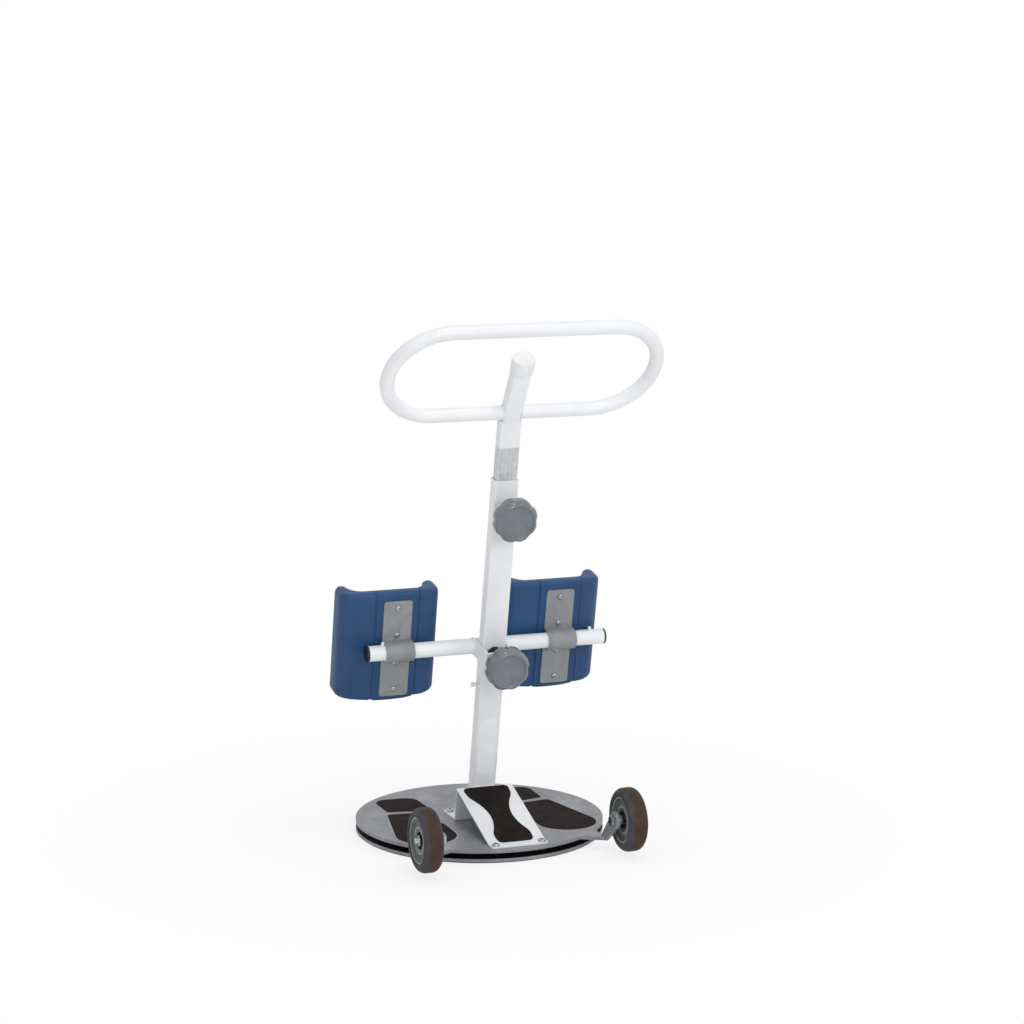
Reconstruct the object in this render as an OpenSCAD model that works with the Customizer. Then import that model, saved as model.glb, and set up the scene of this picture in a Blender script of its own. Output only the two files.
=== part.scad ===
// Patient turner: a turning foot plate on a floor disc, with a leaning mast,
// two knee pads on a crossbar, a telescopic grab handle and two tilting wheels.
// Origin: centre of the floor face. +Z up, +Y towards the patient, -Y towards the carer.

/* [Base discs] */
// Radius of the floor disc and of the turning plate
plate_r = 225; // [210:1:250]
// Radius of the rubber floor mat
mat_r = 222; // [200:1:224]
// Thickness of the rubber floor mat
mat_t = 2; // [1:0.5:3]
// Thickness of the floor disc
disc_t = 6; // [5:0.5:8]
// Height of the gap that holds the ball bearing
gap_h = 10; // [9:0.5:13]
// Thickness of the turning plate
plate_t = 6; // [5:0.5:8]

/* [Ball bearing] */
// Mean radius of the ball races
race_r = 150; // [100:1:170]
// Radial width of each race
race_w = 16; // [12:1:20]
// Thickness of each race
race_t = 2; // [1.5:0.25:2.5]
// Number of balls
ball_n = 36; // [12:1:48]
// Radial width of the ball cage
cage_w = 12; // [10:1:14]
// Thickness of the ball cage
cage_t = 2; // [1:0.5:3]

/* [Pivot] */
// Diameter of the pivot stud
pivot_d = 10; // [8:1:11]
// Diameter of the stud's sunk flange
pivot_flange_d = 28; // [22:1:40]
// Thickness of the stud's sunk flange
pivot_flange_t = 3; // [2:0.5:4]
// Wall of the pivot bush
bush_wall = 2; // [1:0.5:3]
// Diameter of the bush's flange and of the washer on it
bush_flange_d = 22; // [20:1:24]
// Thickness of the bush's flange
bush_flange_t = 1.5; // [1:0.25:1.5]
// Thickness of the pivot washer
pivot_washer_t = 1.2; // [0.8:0.1:1.2]
// Width across flats of the pivot nut
pivot_nut_af = 14; // [13:0.5:14.5]
// Height of the pivot nut
pivot_nut_h = 6; // [5:0.5:7]
// Length of stud that stands past the nut
pivot_tail = 1.5; // [1:0.5:3]

/* [Foot grips] */
// Thickness of the grip sheet
grip_t = 0.8; // [0.5:0.1:1.5]

/* [Wheels] */
// Radius of a wheel over its tyre
wheel_r = 56.5; // [54.5:0.5:62]
// Width of a wheel
wheel_w = 35; // [33:1:38]
// Radius of the tyre's rounded edges
tread_r = 12; // [4:1:14]
// Radius of the hub under the tyre
hub_r = 41.5; // [36:0.5:43.5]
// Width of the hub's rim
hub_rim_w = 31; // [26:1:33]
// Radial thickness of the hub's rim
hub_rim_t = 4; // [3:0.5:8]
// Thickness of the hub's web
hub_web_t = 25; // [18:1:25]
// Radius of the hub's sunk centre
hub_cup_r = 15; // [13:0.5:18]
// Width of the hub at its sunk centre
hub_cup_w = 14; // [10:1:17]
// Wall of the steel sleeve in the hub
sleeve_wall = 2; // [1.5:0.5:3]
// Diameter of the axle bolt
axle_d = 10; // [8:1:12]
// Width across flats of the axle bolt's head and nut
axle_af = 17; // [14:1:19]
// Height of the axle bolt's head
axle_head_h = 6.5; // [5:0.5:8]
// Height of the axle's domed nut
axle_nut_h = 11; // [8:0.5:13]
// Distance of a wheel's middle from the centre plane
wheel_x = 189; // [182:1:196]
// Distance of the axles behind the centre, towards the carer
wheel_back = 250; // [244:1:258]
// Height of the wheels above the floor
wheel_lift = 8; // [4:1:12]
// Gap between the ear and the wheel
spacer_t = 5; // [3:0.5:7]
// Radius of the ear round the axle
ear_r = 16; // [13:1:18]
// Distance from the centre back to the near edge of the ear's foot
tab_near = 212; // [206:1:218]
// Distance from the centre back to the far edge of the ear's foot
tab_far = 188; // [182:1:194]

/* [Pedal bracket] */
// Width of the bent bracket
bracket_w = 106; // [96:1:116]
// Thickness of its sheet
bracket_t = 3; // [2:0.5:4]
// Distance from the centre back to the lip's free edge
lip_back = 213; // [205:1:216]
// Length of the lip that is screwed to the plate
lip_l = 18; // [18:1:30]
// Height of the pedal's top edge above the plate
pedal_h = 62; // [50:1:75]
// Corner radius of the bracket's lip
lip_corner = 5; // [2:0.5:7]
// Distance from the centre forward to the flange's free edge
flange_front = 46; // [40:1:56]
// Diameter of the bracket screws
screw_d = 8; // [6:1:8]
// Diameter of their heads
screw_head_d = 15; // [12:0.5:16]
// Height of their heads
screw_head_h = 4.5; // [3:0.5:6]
// Width across flats of their nuts
screw_nut_af = 13; // [11:1:14]
// Height of their nuts
screw_nut_h = 6.5; // [5:0.5:7]
// Inset of the screws from the bracket's edges
screw_inset = 9.5; // [8.5:0.5:10]
// Width of the pedal's grip sheet
pedal_grip_w = 86; // [76:1:92]
// Width of that grip at its foot
pedal_foot_w = 66; // [56:1:76]
// Width of that sheet at its waist
pedal_waist_w = 41; // [38:1:52]
// Radius of the waist's bites
pedal_bite_r = 95; // [80:1:130]
// Corner radius of the pedal's grip sheet
pedal_grip_corner = 10; // [4:1:14]
// Margin of bare sheet above the pedal's grip
pedal_top_margin = 3; // [2:0.5:12]
// Margin of bare sheet below the pedal's grip
pedal_foot_margin = 2; // [1:0.5:12]

/* [Mast] */
// Width of the mast tube
mast_w = 44; // [44:1:50]
// Depth of the mast tube
mast_d = 25; // [25:0.5:32]
// Wall of the mast tube
mast_wall = 2; // [1.5:0.25:2]
// Outer corner radius of the mast tube
mast_corner = 3; // [2:0.5:4]
// Lean of the mast towards the carer
mast_tilt = 11.5; // [6:0.5:15]
// Length of the mast along its axis, from the plate
mast_l = 654; // [620:1:720]
// Height of the stop pins along the mast
pin_at = 264; // [240:1:290]
// Diameter of a mast pin's shank
mast_pin_d = 6; // [4:0.5:8]
// Length of a mast pin
mast_pin_l = 12; // [9:0.5:16]
// Diameter of a mast pin's head
mast_pin_head_d = 9; // [7:0.5:11]
// Length of a mast pin's head
mast_pin_head_l = 4; // [3:0.5:6]

/* [Clamp knobs] */
// Distance of the upper knob below the mast's top
upper_knob_drop = 54; // [40:1:100]
// Diameter of the threaded bosses
boss_d = 22; // [18:1:26]
// Length of the mast's threaded boss
mast_boss_l = 24; // [12:1:28]
// Length of the crossbar clamp's threaded boss
clamp_boss_l = 9; // [6:1:16]
// Radius of a knob over its lobes
knob_r = 40; // [36:0.5:41]
// Height of a knob's lobed body
knob_h = 24; // [16:1:28]
// Number of lobes
knob_lobes = 8; // [6:1:10]
// Radius of the notches between lobes
notch_r = 12; // [8:1:14]
// Depth of the notches
notch_depth = 2; // [1:0.5:4]
// Radius of the knob's raised face
knob_face_r = 33; // [28:0.5:33]
// Height of the raised face
knob_face_h = 4; // [3:0.5:8]
// Radius of the cap in the face
knob_cap_r = 25; // [20:0.5:25]
// Thickness of that cap
knob_cap_t = 2; // [1:0.5:3]
// Diameter of the knob's neck
knob_neck_d = 28; // [22:1:34]
// Length of the knob's neck
knob_neck_l = 12; // [5:1:16]
// Diameter of the clamp screws
stud_d = 10; // [8:1:10]
// Length of clamp screw held in the knob
stud_grip = 22; // [16:1:26]
// Thickness of the upper screw's nylon tip
tip_t = 3; // [2:0.5:4]
// Diameter of the lower screw's pressure disc
press_d = 27; // [22:1:34]
// Thickness of that disc
press_t = 4; // [3:0.5:5]

/* [Handle] */
// Width of the sliding post
post_w = 39; // [34:0.5:39]
// Depth of the sliding post
post_d = 20; // [17:0.5:20]
// Wall of the post
post_wall = 2; // [1.5:0.25:2.5]
// Outer corner radius of the post
post_corner = 3; // [2:0.5:4]
// Length of post inside the mast at rest
post_in = 328; // [280:1:360]
// Length of bare post showing at rest
post_out = 60; // [30:1:100]
// Length of the painted neck below its bend
neck_low = 50; // [40:1:64]
// Length of the neck above its bend
neck_high = 132; // [110:1:150]
// Lean of the upper neck towards the carer
neck_tilt = 32; // [24:1:40]
// Width of the upper neck
neck_w = 32; // [28:1:33]
// Depth of the upper neck
neck_d = 24; // [20:0.5:25]
// Diameter of the round neck cap
neck_cap_d = 41; // [40:0.5:46]
// Height of the neck cap
neck_cap_h = 26; // [20:1:32]
// Thickness of the neck cap's top
neck_cap_top = 4; // [3:0.5:6]
// Diameter of the handle tube
loop_d = 25; // [22:0.5:28]
// Wall of the handle tube
loop_wall = 2; // [1.5:0.25:2.5]
// Bend radius of the handle's round ends
loop_r = 98; // [85:1:105]
// Half length of the handle's straight runs
loop_half = 145; // [120:1:165]
// Lean of the handle's plane towards the carer
loop_tilt = 38; // [30:1:45]
// Height of the handle's lower run above the neck's bend
loop_up = 15; // [15:1:28]
// Thickness of the plug's collar at the post's foot
plug_t = 6; // [4:1:10]
// Depth of the plug in the post
plug_l = 18; // [12:1:30]

/* [Crossbar] */
// Height of the crossbar along the mast
bar_at = 327; // [310:1:345]
// Diameter of the crossbar tube
bar_d = 28; // [25:0.5:30]
// Wall of the crossbar tube
bar_wall = 2; // [1.5:0.25:2.5]
// Length of the crossbar tube
bar_l = 446; // [432:1:460]
// Gap between the mast's front and the clamp's front plate
clamp_gap = 27.5; // [12:0.5:36]
// Thickness of the clamp's bent strap
clamp_t = 4; // [3:0.5:5]
// Height of the clamp's strap
clamp_h = 30; // [29:0.5:36]
// Thickness of the end caps' flange
bar_cap_t = 3.5; // [2:0.5:5]
// Depth of the end caps in the tube
bar_cap_l = 12; // [8:1:20]
// Distance of the crossbar's stop pins from the centre plane
bar_pin_x = 197; // [196:1:205]
// Diameter of those pins
bar_pin_d = 6; // [4:0.5:7]
// Length of those pins over the tube
bar_pin_l = 6; // [5:0.5:8]

/* [Knee pads] */
// Distance of the left strap's middle from the centre plane
left_strap_x = 167; // [140:1:167]
// Distance of the right strap's middle from the centre plane
right_strap_x = 141; // [130:1:160]
// Distance from a strap's middle to its pad's middle
pad_shift = 12; // [0:1:14]
// Width of a pad
pad_w = 184; // [168:1:190]
// Height of a pad
pad_h = 207; // [192:1:222]
// Height of a pad's top edge above the crossbar
pad_above = 106; // [98:1:115]
// Thickness of a pad at its middle
pad_t = 22; // [18:1:28]
// Depth of a pad over its wings
pad_depth = 52; // [44:1:60]
// Thickness of a wing
wing_t = 20; // [16:1:24]
// Radius of the pad's long back corners
pad_back_r = 24; // [16:1:26]
// Radius of the hollow's long corners
pad_hollow_r = 26; // [16:1:30]
// Radius of the pad's upper corners
pad_top_r = 9; // [6:1:20]
// Radius of the pad's lower corners
pad_foot_r = 24; // [14:1:30]
// Radius of the pad's bowed lower edge
pad_bow_r = 360; // [300:5:500]
// Width of the panel between the sewn channels
panel_w = 79; // [68:1:84]
// Width of a channel
channel_w = 3; // [2:0.5:4]
// Depth of a channel
channel_t = 2.5; // [1:0.5:4]
// Wall of the plastic bush in a strap
pad_bush_t = 1.4; // [1:0.2:2]
// Width of a strap
strap_w = 53; // [46:1:53]
// Length of a strap
strap_l = 182; // [175:1:188]
// Thickness of a strap
strap_t = 2.5; // [2:0.25:3]
// Corner radius of a strap
strap_corner = 5; // [2:0.5:8]
// Distance of the inner screws from the crossbar
screw_near = 26.5; // [25:0.5:32]
// Distance of the outer screws from the crossbar
screw_far = 77.5; // [70:0.5:82]
// Diameter of the pad screws
pad_screw_d = 5; // [4:0.5:6]
// Diameter of their heads
pad_head_d = 10.5; // [9:0.5:12]
// Height of their heads
pad_head_h = 3; // [2:0.5:4]
// Diameter of the threaded inserts in a pad
insert_d = 9; // [8:0.5:11]
// Length of those inserts
insert_l = 13; // [10:1:16]

/* [Hidden] */
$fn = 64;
// Clearance of pieces that are fixed into each other
fit = 0.05;
// Clearance of pieces that turn or slide on each other
run = 0.1;
// Clearance of tubes that slide in each other, and of the clamp on the mast
slack = 0.5;
// Overrun of every cut
over = 1;

disc_top = mat_t + disc_t;
plate_low = disc_top + gap_h;
plate_top = plate_low + plate_t;
ball_d = gap_h - 2 * race_t - 2 * run;
ball_mid = disc_top + gap_h / 2;
washer_low = plate_top + bush_flange_t + run;
nut_low = washer_low + pivot_washer_t;
stud_top = nut_low + pivot_nut_h + pivot_tail;

// Centres and radii of a foot grip's corners, as shares of the plate's radius
sole_shares = [[0.50, 0.205, 0.036], [0.67, 0.225, 0.036], [0.595, -0.412, 0.242], [0.40, -0.17, 0.05]];
heel_shares = [[0.575, 0.60, 0.105], [0.435, 0.587, 0.111], [0.645, 0.362, 0.03],
               [0.445, 0.325, 0.035], [0.365, 0.40, 0.05]];
// Width of a screw head's top, as a share of its foot
head_top_share = 0.6;

// Wheel ears: bent up from the plate beside each wheel
wheel_z = wheel_r + wheel_lift;
ear_out = wheel_x - wheel_w / 2 - spacer_t;
ear_in = ear_out - plate_t;
ear_mid = (ear_in + ear_out) / 2;
axle_tip = wheel_x + hub_cup_w / 2 + axle_nut_h;
// Where the ear's arm leaves the plate's rim, in degrees from +X
tab_near_angle = -58;
tab_far_angle = -42;

// Bracket: lip, ramp, wall against the mast and flange, all one bent sheet
sheet_top = plate_top + bracket_t;
lip_end = -(lip_back - lip_l);
wall_back = mast_d / 2 + fit;
apex_z = plate_top + pedal_h;
function wall_y(z, offset) = -offset / cos(mast_tilt) - (z - plate_top) * tan(mast_tilt);
apex_y = wall_y(apex_z, wall_back);
ramp_angle = atan2(apex_z - sheet_top, apex_y - lip_end);
ramp_l = norm([apex_z - sheet_top, apex_y - lip_end]);
ramp_drop = bracket_t / cos(ramp_angle);
under_z = sheet_top - ramp_drop;
wall_front_0 = wall_y(0, wall_back + bracket_t);
inner_apex_z = (under_z + tan(ramp_angle) * (wall_front_0 - lip_end))
             / (1 + tan(ramp_angle) * tan(mast_tilt));
screw_spots = [for (x = [-1, 1], y = [-lip_back + screw_inset, flange_front - screw_inset])
               [x * (bracket_w / 2 - screw_inset), y]];
// Length of bracket screw past its nut
screw_tail = 0.5;
pedal_grip_l = ramp_l - pedal_top_margin - pedal_foot_margin;

// Clamp screws
upper_knob_at = mast_l - upper_knob_drop;
bore_d = stud_d + 2 * run;
// Gap between a boss and the clamped knob's neck
knob_seat = 2;
upper_knob_y = mast_d / 2 + mast_boss_l + knob_seat;
clamp_in = mast_d / 2 + clamp_gap;
clamp_out = clamp_in + clamp_t;
lower_knob_y = clamp_out + clamp_boss_l + knob_seat;
knob_top = knob_neck_l + knob_h + knob_face_h;

// Handle
mast_bore = [mast_w, mast_d] - [2, 2] * mast_wall;
post_bore = [post_w, post_d] - [2, 2] * post_wall;
neck_bore = [neck_w, post_d] - [2, 2] * post_wall;
// Inner corner radius of the mast, post and neck
bore_corner = 1;
post_top = mast_l + post_out;
bend_at = post_top + neck_low;
mitre = (neck_tilt - mast_tilt) / 2;
neck_end = neck_high - neck_cap_top;

// Crossbar
bar_r = bar_d / 2;
bar_y = mast_d / 2 + slack + bar_r;
clamp_x = mast_w / 2 + slack;

// Knee pads
bush_r = bar_r + run + pad_bush_t;
strap_r = bush_r + run;
pad_back = strap_r + 2 * run;
wing_mid = (pad_w - wing_t) / 2;
hollow_w = pad_w - 2 * wing_t;
tip_r = wing_t / 2;
screw_heights = [-screw_far, -screw_near, screw_near, screw_far];
strap_places = [-left_strap_x, right_strap_x];

// Shared shapes and frames

module ring(outer_d, inner_d, h) {
    difference() {
        cylinder(h = h, d = outer_d);
        translate([0, 0, -over]) cylinder(h = h + 2 * over, d = inner_d);
    }
}

module hexagon(af, h) cylinder(h = h, d = af / cos(30), $fn = 6);

module round_rect(w, h, r) {
    square([w - 2 * r, h], center = true);
    square([w, h - 2 * r], center = true);
    for (x = [-1, 1], y = [-1, 1]) translate([x * (w / 2 - r), y * (h / 2 - r)]) circle(r);
}

module flat_tube(w, d, bore, corner) {
    difference() {
        round_rect(w, d, corner);
        round_rect(bore.x, bore.y, bore_corner);
    }
}

module dome_head(d, h) cylinder(h = h, d1 = d, d2 = d * head_top_share);

module along_x(l) rotate([90, 0, 90]) linear_extrude(l, center = true) children();

// Local z runs up the mast, local y points to the patient
module mast_frame() translate([0, 0, plate_top]) rotate([mast_tilt, 0, 0]) children();

// Local z points from the mast to the carer
module knob_frame(at, y) {
    mast_frame() translate([0, -y, at]) rotate([90, 0, 0]) children();
}

// Local z runs up the leaning neck from its bend
module neck_frame() {
    mast_frame() translate([0, 0, bend_at]) rotate([neck_tilt - mast_tilt, 0, 0]) children();
}

// Local z runs up the handle's plane from the middle of its lower run
module loop_frame() {
    neck_frame() translate([0, 0, loop_up]) rotate([loop_tilt - neck_tilt, 0, 0]) children();
}

// Local x lies along the crossbar's axis
module bar_frame() mast_frame() translate([0, bar_y, bar_at]) children();

// Point where a line from p touches a circle; side is 1 or -1
function touch(p, c, r, side) =
    let (away = p - c, turn = atan2(away.y, away.x) + side * acos(r / norm(away)))
    c + r * [cos(turn), sin(turn)];

// Floor group

module floor_mat() color("#2b2a2a") cylinder(h = mat_t, r = mat_r, $fn = 180);

module floor_disc() {
    color("#7c7e80") translate([0, 0, mat_t]) difference() {
        cylinder(h = disc_t, r = plate_r, $fn = 180);
        translate([0, 0, -over]) {
            cylinder(h = disc_t + 2 * over, d = pivot_d + 2 * fit);
            cylinder(h = pivot_flange_t + over, d = pivot_flange_d + 2 * fit);
        }
    }
}

module race(z) {
    translate([0, 0, z]) ring(2 * race_r + race_w, 2 * race_r - race_w, race_t);
}

module lower_race() color("#b4b6b8") race(disc_top);

module pivot_stud() {
    color("#a9abad") translate([0, 0, mat_t]) {
        cylinder(h = pivot_flange_t, d = pivot_flange_d);
        cylinder(h = stud_top - mat_t, d = pivot_d);
    }
}

module pivot_washer() {
    color("#b9bbbd") translate([0, 0, washer_low])
        ring(bush_flange_d, pivot_d + 2 * fit, pivot_washer_t);
}

module pivot_nut() {
    color("#b9bbbd") translate([0, 0, nut_low]) difference() {
        hexagon(pivot_nut_af, pivot_nut_h);
        translate([0, 0, -over]) cylinder(h = pivot_nut_h + 2 * over, d = pivot_d + 2 * fit);
    }
}

// Ball cage group

module each_ball() {
    for (i = [0 : ball_n - 1]) rotate(360 * i / ball_n) translate([race_r, 0]) children();
}

module ball_cage() {
    color("#c8b88a") translate([0, 0, ball_mid - cage_t / 2]) difference() {
        ring(2 * race_r + cage_w, 2 * race_r - cage_w, cage_t);
        each_ball() translate([0, 0, -over]) cylinder(h = cage_t + 2 * over, d = ball_d + 2 * run);
    }
}

module bearing_balls() {
    color("#d0d2d4") translate([0, 0, ball_mid]) each_ball() sphere(d = ball_d, $fn = 24);
}

// Turning plate group

module plate_arm() {
    inner = plate_r - plate_t;
    polygon([
        inner * [cos(tab_near_angle), sin(tab_near_angle)], [ear_mid, -tab_near],
        [ear_mid, -tab_far], inner * [cos(tab_far_angle), sin(tab_far_angle)]]);
}

module wheel_ear() {
    axle = [-wheel_back, wheel_z];
    near = [-tab_near, plate_low];
    far = [-tab_far, plate_low];
    arm_r = ear_r - over;
    difference() {
        union() {
            polygon([near, touch(near, axle, arm_r, -1), axle, touch(far, axle, arm_r, 1), far]);
            translate(axle) circle(ear_r);
        }
        translate(axle) circle(d = axle_d + 2 * fit);
    }
}

module turning_plate() {
    color("#85878a") {
        translate([0, 0, plate_low]) difference() {
            linear_extrude(plate_t) {
                circle(plate_r, $fn = 180);
                plate_arm();
                mirror([1, 0]) plate_arm();
            }
            translate([0, 0, -over]) {
                cylinder(h = plate_t + 2 * over, d = pivot_d + 2 * (run / 2 + bush_wall + fit));
                for (spot = screw_spots) translate(spot)
                    cylinder(h = plate_t + 2 * over, d = screw_d + 2 * fit);
            }
        }
        for (side = [-1, 1]) translate([side * ear_mid, 0, 0])
            along_x(plate_t) wheel_ear();
    }
}

module upper_race() color("#b4b6b8") race(plate_low - race_t);

module pivot_bush() {
    bush_d = pivot_d + 2 * (run / 2 + bush_wall);
    color("#b08d57") translate([0, 0, plate_low]) difference() {
        union() {
            cylinder(h = plate_t, d = bush_d);
            translate([0, 0, plate_t]) cylinder(h = bush_flange_t, d = bush_flange_d);
        }
        translate([0, 0, -over])
            cylinder(h = plate_t + bush_flange_t + 2 * over, d = pivot_d + run);
    }
}

module foot_grip(shares) {
    color("#2a2625") translate([0, 0, plate_top]) linear_extrude(grip_t)
        hull() for (c = shares) translate(plate_r * [c.x, c.y]) circle(plate_r * c.z, $fn = 64);
}

module left_sole_grip() mirror([1, 0, 0]) foot_grip(sole_shares);
module left_heel_grip() mirror([1, 0, 0]) foot_grip(heel_shares);
module right_sole_grip() foot_grip(sole_shares);
module right_heel_grip() foot_grip(heel_shares);

module bracket_profile() {
    polygon([
        [-lip_back, plate_top], [-lip_back, sheet_top], [lip_end, sheet_top], [apex_y, apex_z],
        [wall_y(sheet_top, wall_back), sheet_top], [flange_front, sheet_top],
        [flange_front, plate_top], [wall_y(plate_top, wall_back + bracket_t), plate_top],
        [wall_y(inner_apex_z, wall_back + bracket_t), inner_apex_z],
        [lip_end + (ramp_drop - bracket_t) / tan(ramp_angle), plate_top]]);
}

module pedal_bracket() {
    color("#ecedee") difference() {
        along_x(bracket_w) bracket_profile();
        translate([0, 0, plate_top - over]) {
            cylinder(h = bracket_t + 2 * over, d = bush_flange_d + 2 * slack);
            for (spot = screw_spots) translate(spot)
                cylinder(h = bracket_t + 2 * over, d = screw_d + 2 * fit);
            for (side = [0, 1]) mirror([side, 0, 0]) lip_corner_cut();
        }
    }
}

module lip_corner_cut() {
    translate([bracket_w / 2 - lip_corner, lip_corner - lip_back]) linear_extrude(bracket_t + 2 * over)
        difference() {
            translate([0, -lip_corner - over]) square(lip_corner + over);
            circle(lip_corner);
        }
}

module pedal_grip() {
    color("#2a2625") translate([0, lip_end, sheet_top]) rotate([ramp_angle, 0, 0])
        translate([0, pedal_foot_margin + pedal_grip_l / 2, 0]) linear_extrude(grip_t) difference() {
            hull() for (side = [-1, 1], end = [-1, 1])
                translate([side * ((end > 0 ? pedal_grip_w : pedal_foot_w) / 2 - pedal_grip_corner),
                           end * (pedal_grip_l / 2 - pedal_grip_corner)]) circle(pedal_grip_corner);
            for (side = [-1, 1])
                translate([side * (pedal_waist_w / 2 + pedal_bite_r), 0]) circle(pedal_bite_r);
        }
}

module bracket_screws() {
    color("#b4b6b8") for (spot = screw_spots) translate([spot.x, spot.y, 0]) {
        translate([0, 0, sheet_top]) dome_head(screw_head_d, screw_head_h);
        translate([0, 0, plate_low - screw_nut_h - screw_tail])
            cylinder(h = sheet_top - plate_low + screw_nut_h + screw_tail, d = screw_d);
    }
}

module bracket_nuts() {
    color("#b4b6b8") for (spot = screw_spots)
        translate([spot.x, spot.y, plate_low - screw_nut_h]) difference() {
            hexagon(screw_nut_af, screw_nut_h);
            translate([0, 0, -over])
                cylinder(h = screw_nut_h + 2 * over, d = screw_d + 2 * fit);
        }
}

module mast() {
    color("#f2f3f4") difference() {
        mast_frame() translate([0, 0, -mast_w]) linear_extrude(mast_l + mast_w)
            flat_tube(mast_w, mast_d, mast_bore, mast_corner);
        translate([0, 0, sheet_top - mast_w]) cube(2 * mast_w, center = true);
        knob_frame(upper_knob_at, 0) cylinder(h = mast_w, d = bore_d);
    }
}

module mast_boss() {
    color("#f2f3f4") knob_frame(upper_knob_at, mast_d / 2) ring(boss_d, bore_d, mast_boss_l);
}

module mast_pins() {
    color("#f2f3f4") mast_frame() translate([0, 0, pin_at])
        for (side = [-1, 1]) translate([side * mast_w / 2, 0, 0]) rotate([0, side * 90, 0]) {
            cylinder(h = mast_pin_l, d = mast_pin_d);
            translate([0, 0, mast_pin_l - mast_pin_head_l])
                cylinder(h = mast_pin_head_l, d = mast_pin_head_d);
        }
}

// Local z runs out along the axle on that side, from the centre plane
module axle_frame(side) {
    translate([0, -wheel_back, wheel_z]) rotate([0, side * 90, 0]) children();
}

module axle_bolts() {
    color("#b4b6b8") for (side = [-1, 1]) axle_frame(side) {
        translate([0, 0, ear_in - axle_head_h]) hexagon(axle_af, axle_head_h);
        translate([0, 0, ear_in]) cylinder(h = axle_tip - ear_in - axle_nut_h / 2, d = axle_d);
    }
}

module axle_nuts() {
    nut_low = axle_tip - axle_nut_h + run;
    color("#c2c4c6") for (side = [-1, 1]) axle_frame(side) translate([0, 0, nut_low])
        difference() {
            union() {
                hexagon(axle_af, axle_nut_h / 2);
                cylinder(h = axle_nut_h, d1 = axle_af, d2 = axle_af * head_top_share);
            }
            translate([0, 0, -over]) cylinder(h = axle_nut_h / 2 + over, d = axle_d + 2 * fit);
        }
}

module axle_spacers() {
    color("#b4b6b8") for (side = [-1, 1]) axle_frame(side) translate([0, 0, ear_out])
        ring(axle_d + 4 * sleeve_wall, axle_d + 2 * fit, wheel_x - hub_cup_w / 2 - ear_out - run);
}

// Wheels

module wheel_frame(side) axle_frame(side) translate([0, 0, wheel_x]) children();

module tyre(side) {
    flat = wheel_w - 2 * tread_r;
    color("#6b5d55") wheel_frame(side) rotate_extrude($fn = 96) intersection() {
        union() {
            translate([hub_r + fit, -wheel_w / 2])
                square([wheel_r - tread_r - hub_r - fit, wheel_w]);
            translate([hub_r + fit, -flat / 2]) square([wheel_r - hub_r - fit, flat]);
            for (edge = [-1, 1]) translate([wheel_r - tread_r, edge * flat / 2]) circle(tread_r);
        }
        translate([hub_r + fit, -wheel_w / 2]) square([wheel_r - hub_r, wheel_w]);
    }
}

module hub(side) {
    color("#7a7d7b") wheel_frame(side) rotate_extrude($fn = 96) {
        translate([hub_r - hub_rim_t, -hub_rim_w / 2]) square([hub_rim_t, hub_rim_w]);
        translate([hub_cup_r, -hub_web_t / 2])
            square([hub_r - hub_cup_r - hub_rim_t / 2, hub_web_t]);
        translate([axle_d / 2 + sleeve_wall + 2 * fit, -hub_cup_w / 2])
            square([hub_cup_r - axle_d / 2 - sleeve_wall, hub_cup_w]);
    }
}

module sleeve(side) {
    color("#c2c4c6") wheel_frame(side) translate([0, 0, -hub_cup_w / 2])
        ring(axle_d + 2 * sleeve_wall + 2 * fit, axle_d + run, hub_cup_w);
}

module left_tyre() tyre(-1);
module left_hub() hub(-1);
module left_sleeve() sleeve(-1);
module right_tyre() tyre(1);
module right_hub() hub(1);
module right_sleeve() sleeve(1);

// Handle group

module post() {
    color("#b9bcbf") mast_frame() translate([0, 0, mast_l - post_in])
        linear_extrude(post_in + post_out) flat_tube(post_w, post_d, post_bore, post_corner);
}

module post_plug() {
    inner = post_bore - [2, 2] * run;
    collar = mast_bore - [1, 1] * slack;
    color("#33363a") mast_frame() translate([0, 0, mast_l - post_in]) {
        linear_extrude(plug_l) round_rect(inner.x, inner.y, bore_corner);
        translate([0, 0, -plug_t]) linear_extrude(plug_t)
            round_rect(collar.x, collar.y, post_corner);
    }
}

// Half space above the mitre plane at the neck's bend
module above_mitre() {
    mast_frame() translate([0, 0, bend_at]) rotate([mitre, 0, 0])
        translate([-post_w, -post_w, 0]) cube(2 * post_w);
}

module neck() {
    color("#f4f5f6") {
        difference() {
            mast_frame() translate([0, 0, post_top]) linear_extrude(neck_low + post_w)
                flat_tube(post_w, post_d, neck_bore, post_corner);
            above_mitre();
        }
        intersection() {
            neck_frame() translate([0, 0, -post_w]) linear_extrude(neck_end + post_w)
                flat_tube(neck_w, neck_d, neck_bore, post_corner);
            union() {
                above_mitre();
                neck_frame() translate([-post_w, -post_w, post_w])
                    cube([2 * post_w, 2 * post_w, neck_high]);
            }
        }
    }
}

module neck_cap() {
    socket = [neck_w, neck_d] + [2, 2] * fit;
    color("#fafafa") neck_frame() translate([0, 0, neck_high - neck_cap_h]) difference() {
        cylinder(h = neck_cap_h, d = neck_cap_d);
        translate([0, 0, -over]) linear_extrude(neck_cap_h - neck_cap_top + over + fit)
            round_rect(socket.x, socket.y, post_corner);
    }
}

// The handle's bent tube, solid, with its lower run parted by a gap
module loop_run(d, gap) {
    for (side = [-1, 1]) {
        translate([side * (gap + loop_half) / 2, 0, 0]) rotate([0, 90, 0])
            cylinder(h = loop_half - gap, d = d, center = true);
        translate([side * loop_half, 0, loop_r]) rotate([90, 0, 0]) rotate([0, 0, -side * 90])
            rotate_extrude(angle = 180) translate([loop_r, 0]) circle(d = d);
    }
    translate([0, 0, 2 * loop_r]) rotate([0, 90, 0])
        cylinder(h = 2 * loop_half, d = d, center = true);
}

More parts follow.
